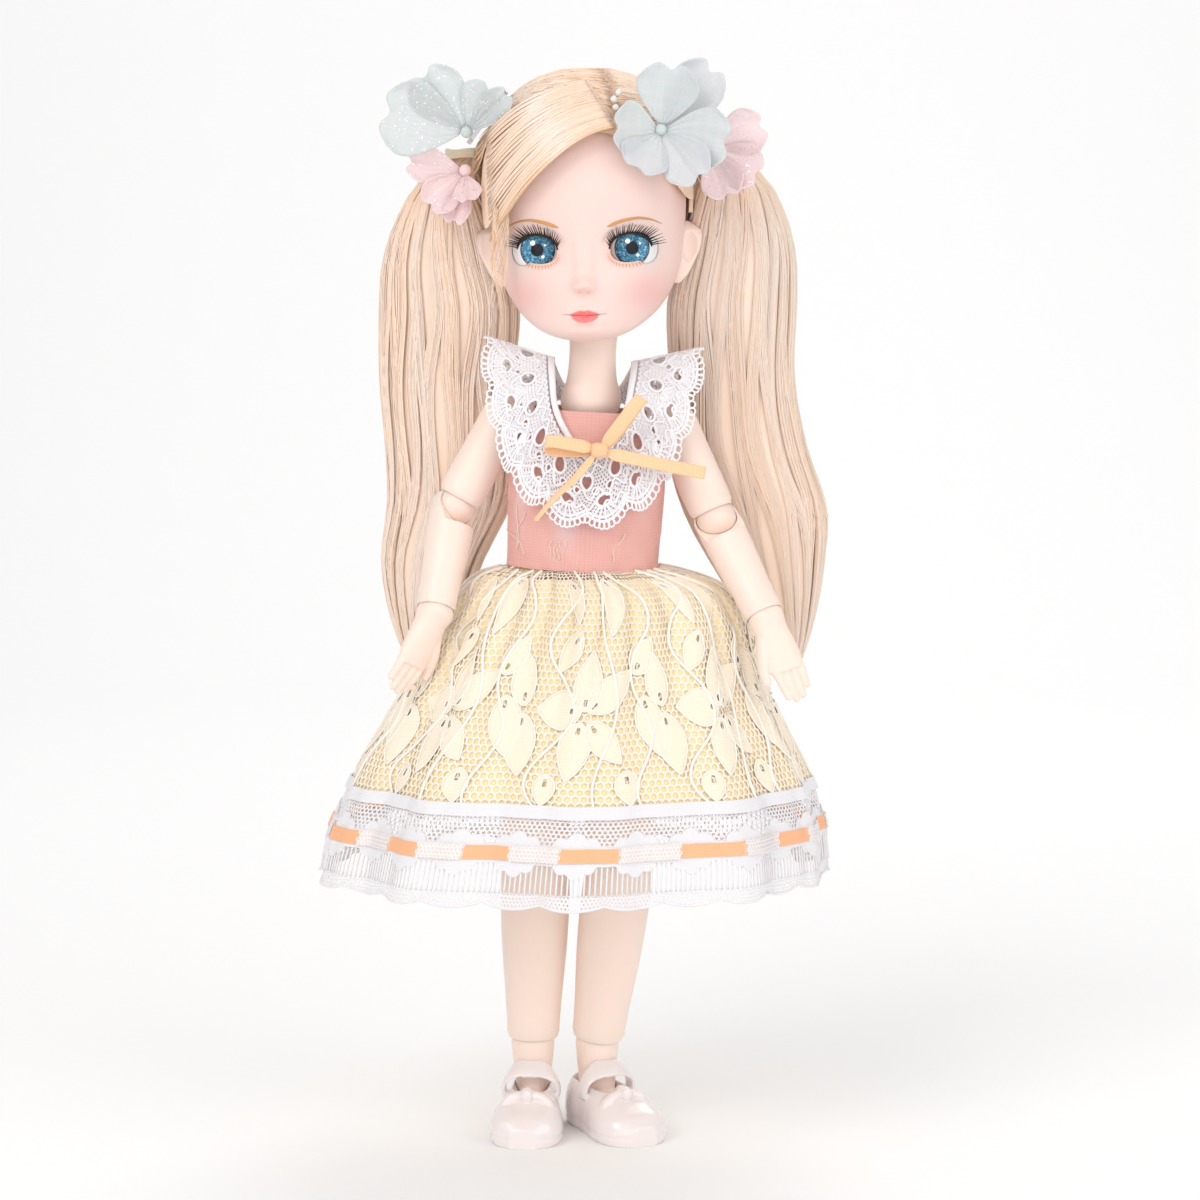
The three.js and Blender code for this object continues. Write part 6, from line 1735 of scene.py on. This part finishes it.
def chestRing(height, out, turn):
    # a place on the chest; turn 0 is the left side and 0.75 the front
    rows = readTable(chestRows, height)
    angle = np.asarray(turn) * 2 * np.pi
    depth = np.where(np.sin(angle) < 0, rows[..., 1], rows[..., 2]) + out
    x = (rows[..., 0] + out) * squared(np.cos(angle), chestPower)
    return np.stack([x, depth * squared(np.sin(angle), chestPower), height + 0 * x], -1)


def sheenOver(tree, colour):
    sheen = rampNode(tree, painted(tree, "sheen"), [(0.0, (0, 0, 0)), (1.0, (0.45, 0.45, 0.45))])
    return mixColour(tree, sheen, colour, (0.88, 0.74, 0.78))


def buildBodice():
    twill = cloth("bodiceTwill", (0.84, 0.47, 0.42), (0.72, 0.34, 0.30), 4.0, 0.55, 0.62, 0.6, sheenOver,
                  Sheen_Weight=0.35, Sheen_Roughness=0.4)
    columns, rows = bodice["cells"]
    turn = np.arange(columns)[None, :] / columns
    height = np.linspace(bodice["top"], bodice["bottom"], rows)[:, None] + 0 * turn
    rumple = 0.35 * np.sin(height * 0.55 + 6 * np.cos(2 * np.pi * turn)) * np.sin(14 * np.pi * turn) ** 2
    wall = chestRing(height, bodice["out"] - 0.35 + rumple * smoothStep(60, 44, height), turn + 0 * height)
    thing = thickSheet("bodiceCloth", wall, bodice["thick"], True)
    x, z = wall[..., 0], wall[..., 2]
    front = wall[..., 1] < 0
    sheen = 0.9 * bump(x + 5, 3.2) * bump(z - 38, 5.5) + 0.7 * bump(x + 17.5, 1.8) * bump(z - 46, 9)
    sheen = np.where(front, sheen + 0.5 * bump(x - 16, 2.5) * bump(z - 50, 8), 0)
    paintCloth(thing, turn * bodice["girth"] + 0 * height, height)
    paint(thing, "sheen", sheen)
    acrossAt, upAt = bodice["armholeAt"]
    carve(thing, *[sphereCutter((side * acrossAt, 0, upAt), 1.0, bodice["armhole"]) for _, side in sides])
    dress(toChest(thing), twill, "chest", "bodice", "bodice")
    loose = []
    for x, low, high, lean in looseThreads:
        t = np.linspace(0, 1, 30)
        z = low + (high - low) * t
        across = x + lean * t * t + 0.35 * np.sin(9 * t + x)
        turns = 0.75 + np.arcsin(np.clip(across / 22.5, -0.99, 0.99)) / (2 * np.pi)
        loose.append(chestRing(z, bodice["out"] + 0.3 + 0.2 * np.sin(7 * t + x), turns))
    threads = tubeObject("looseThreads", loose, 0.13, 5)
    yarn = vinyl("looseYarn", (0.88, 0.76, 0.64), (0.82, 0.66, 0.54), 0.7, 0.1, 900.0, Sheen_Weight=0.3)
    dress(toChest(threads), yarn, "chest", "bodice", "bodice")


# Collar: rows are [degrees from the front, inner X, Y, Z, outer X, Y, Z]
collarTable = [[0, 0, -16.2, 58, 0, -18.2, 40], [25, 4.5, -15.6, 63, 10.5, -18.2, 44],
               [50, 8.8, -12.4, 71, 20.5, -15.5, 54], [75, 10.0, -7.5, 79.5, 27, -9, 74],
               [95, 10.2, -1, 83.5, 28, -1, 88], [120, 10.0, 5.6, 81, 22.5, 8.5, 81],
               [150, 6.8, 10.6, 75, 13, 15.5, 64], [180, 0, 13.8, 71, 0, 17, 60]]
collar = {"lobes": 18, "picots": 9, "inner": 0.1, "hole": 0.42, "cells": (190, 17), "length": 190.0,
          "wide": 22.0, "thread": 0.72}
# open ovals of one lobe: place along it, place across the collar, half width and half height
lobeHoles = ((0, 0.40, 0.21, 0.115), (0.5, 0.72, 0.20, 0.085), (0.28, 0.56, 0.10, 0.05),
             (0.72, 0.56, 0.10, 0.05))


def collarAngles():
    # degrees from the front for equal steps along the middle of the collar
    degrees = np.linspace(0, 180, 400)
    rows = readTable(collarTable, degrees)
    middle = rows[:, :3] * 0.4 + rows[:, 3:] * 0.6
    along = np.concatenate([[0], np.cumsum(np.linalg.norm(np.diff(middle, axis=0), axis=1))])
    return along / along[-1], degrees


collarAlong, collarDegrees = collarAngles()


def collarPoint(turn, v, out=0.0):
    turn, v = np.broadcast_arrays(np.asarray(turn, float), np.asarray(v, float))
    half = (turn % 1) * 2
    side = np.where(half <= 1, 1, -1)
    degrees = np.interp(np.where(half <= 1, half, 2 - half), collarAlong, collarDegrees)
    rows = readTable(collarTable, degrees)
    point = rows[..., :3] * (1 - v[..., None]) + rows[..., 3:] * v[..., None]
    ruffle = 0.9 * v * np.cos(np.pi * 2 * collar["lobes"] * turn)
    flat = unit(np.stack([point[..., 0] * 0.6, point[..., 1], 0 * v], -1))
    lying = np.where(np.abs(point[..., 2] - 76) > 12, 1.0, 0.3)
    point = point + flat * ((out + 0.4 + ruffle * lying)[..., None])
    point[..., 0] = point[..., 0] * side
    point[..., 2] = point[..., 2] + 0.5 * ruffle + out * 0.3
    return point


def lobeEdge(turn):
    return 0.86 + 0.17 * np.abs(np.sin(np.pi * collar["lobes"] * turn)) ** 0.65


def buildCollar():
    yarn = spun("collarYarn", (0.92, 0.90, 0.92), (0.86, 0.83, 0.88), 0.8, 700.0, 1.0, 0.4)
    lobes, inner = range(collar["lobes"]), collar["inner"]
    step = 1 / collar["lobes"]
    holes = np.array([((i + at) * step, v, step * wide, tall)
                      for i in lobes for at, v, wide, tall in lobeHoles])

    def inward(turn, share):
        return inner + share * (lobeEdge(turn) - 0.04 - inner)

    def keep(turn, share):
        apart = (turn[:, None] - holes[:, 0] + 0.5) % 1 - 0.5
        beside = (inward(turn, share)[:, None] - holes[:, 1]) / holes[:, 3]
        return ((apart / holes[:, 2]) ** 2 + beside ** 2 > 1.05).all(1)

    place = lambda turn, share, out: collarPoint(turn, inward(turn, share), out)
    field = makeNet("collarField", *collar["cells"], collar["hole"], place, 0.28, keep)
    rounds, t = np.linspace(0, 2 * np.pi, 29), np.linspace(0, 1, 29)
    paths, radii = [], []
    for turn, v, wide, tall in holes:
        paths.append(collarPoint(turn + wide * np.cos(rounds), v + tall * np.sin(rounds), 0.25))
        radii.append([0.42 if tall > 0.06 else 0.3])
    for i in lobes:
        for spoke in np.linspace(0.2, 0.8, 5):
            turn = (i + 0.5 + (spoke - 0.5) * (0.4 + 0.8 * t)) * step
            paths.append(collarPoint(turn, 0.8 + t * (lobeEdge((i + spoke) * step) - 0.82), 0.25))
            radii.append([0.3])
        for p in range(collar["picots"]):
            at = (i + (p + 0.5) / collar["picots"]) * step
            loop = rounds * 0.93 + 0.1
            v = lobeEdge(at) + 0.045 - 0.05 * np.cos(loop)
            paths.append(collarPoint(at + 0.0036 * np.sin(loop), v, 0.15))
            radii.append([0.27])
    rings = tubeObject("collarLoops", paths, radii, 6)
    turn = np.linspace(0, 1, 900)
    longs, thick = [], []
    for v, radius in ((0.985, 0.42), (0.93, 0.36)):
        longs.append(collarPoint(turn, lobeEdge(turn) * v, 0.2))
        thick.append([radius])
    for phase in range(3):
        twist = 2 * np.pi * (turn * 84 + phase / 3)
        longs.append(collarPoint(turn, 0.035 + 0.028 * np.cos(twist), 0.3 + 0.4 * np.sin(twist)))
        thick.append([0.42])
    for v, sway, count in ((0.14, 0.02, 70), (0.24, 0.05, 36), (0.60, 0.07, 36), (0.78, 0.04, 54)):
        longs.append(collarPoint(turn, v + sway * np.sin(2 * np.pi * count * turn), 0.25))
        thick.append([0.33])
    cords = tubeObject("collarCords", longs, thick, 6)
    for piece in (rings, cords, field):
        dress(toChest(piece), yarn, "chest", "lace_white", "lace_collar")


# Bow: each strip of ribbon is a path from the knot, its width and the way it faces across
bow = {"at": (3, -20.6, 60.5), "strips": {
    "leftLoop": ([[-0.5, 0.2, 0.2], [-7, -2.2, 1.4], [-13.6, -1.6, 2.0], [-14.6, -0.4, 0.6],
                  [-12.5, 0.8, -0.6], [-7, 0.9, -0.5], [-0.5, 0.6, 0]], 3.5, [0.1, 0.2, 1]),
    "rightLoop": ([[0.5, 0.2, 0], [4.4, -2, 6], [9.6, -1.6, 13.6], [10.8, -0.4, 14.8], [9.6, 0.6, 13.4],
                   [5.6, 1, 7], [0.5, 0.6, 0]], 3.8, [1, 0.2, -0.5]),
    "rightTail": ([[0.8, 0, -0.4], [9, -1.4, -1.6], [19, -1, -3.2], [29, -0.4, -4.6]], 3.4, [0.12, 0.2, 1]),
    "leftTail": ([[-0.8, 0, -0.6], [-6, -1.4, -7.5], [-12, -1, -14], [-16.5, -0.6, -20]], 2.2,
                 [1, 0.1, -0.8])}}


def throughPoints(points, steps):
    rows = [[i, *point] for i, point in enumerate(points)]
    return readTable(rows, np.linspace(0, len(points) - 1, steps))


def buildBow():
    satin = cloth("bowSatin", (0.98, 0.64, 0.38), (0.94, 0.50, 0.24), 5.0, 0.4, 0.36, 0.5, Sheen_Weight=0.3,
                  Anisotropic=0.4)
    for name, (points, width, facing) in bow["strips"].items():
        path = throughPoints(points, 70)
        along = unit(np.gradient(path, axis=0))
        across = unit(np.array(facing, float) - along * (along @ np.array(facing, float))[:, None])
        length = np.concatenate([[0], np.cumsum(np.linalg.norm(np.diff(path, axis=0), axis=1))])
        fromKnot = length if "Tail" in name else np.minimum(length, length[-1] - length)
        half = width / 2 * (0.35 + 0.65 * smoothStep(0, 4.5, fromKnot))
        if name == "leftTail":
            half = half * (1 - 0.55 * length / length[-1])
        side = np.linspace(-1, 1, 11)[None, :]
        wide, normal = side * half[:, None], np.cross(along, across)
        curl = 0.28 * side ** 2 + 0.12 * np.cos(side * 5) * np.exp(-fromKnot / 4)[:, None]
        grid = path[:, None] + across[:, None] * wide[..., None] + normal[:, None] * curl[..., None]
        strip = thickSheet(f"bow_{name}", grid + np.array(bow["at"]), 0.3)
        paintCloth(strip, wide, length[:, None] * 0.55 + 0 * side)
        dress(toChest(strip), satin, "chest", "ribbon", "ribbon_bow")
    angle = circle(40)
    rings = []
    for t in np.linspace(0, 1, 9):
        r = 1.5 + 0.35 * math.sin(math.pi * t)
        deep = r * np.sin(angle) * (1 + 0.06 * np.cos(9 * angle))
        rings.append(np.stack([-2.2 + 4.4 * t + 0 * angle, deep, 1.2 * r * np.cos(angle)], -1))
    knot = loft("bow_knot", np.array(rings) + np.array(bow["at"]))
    count = len(knot.data.vertices)
    paintCloth(knot, np.linspace(0, 9, count), np.linspace(0, 30, count))
    dress(toChest(knot), satin, "chest", "ribbon", "ribbon_bow")


buildBodice()
buildCollar()
buildBow()
print("bodice, collar and bow built")
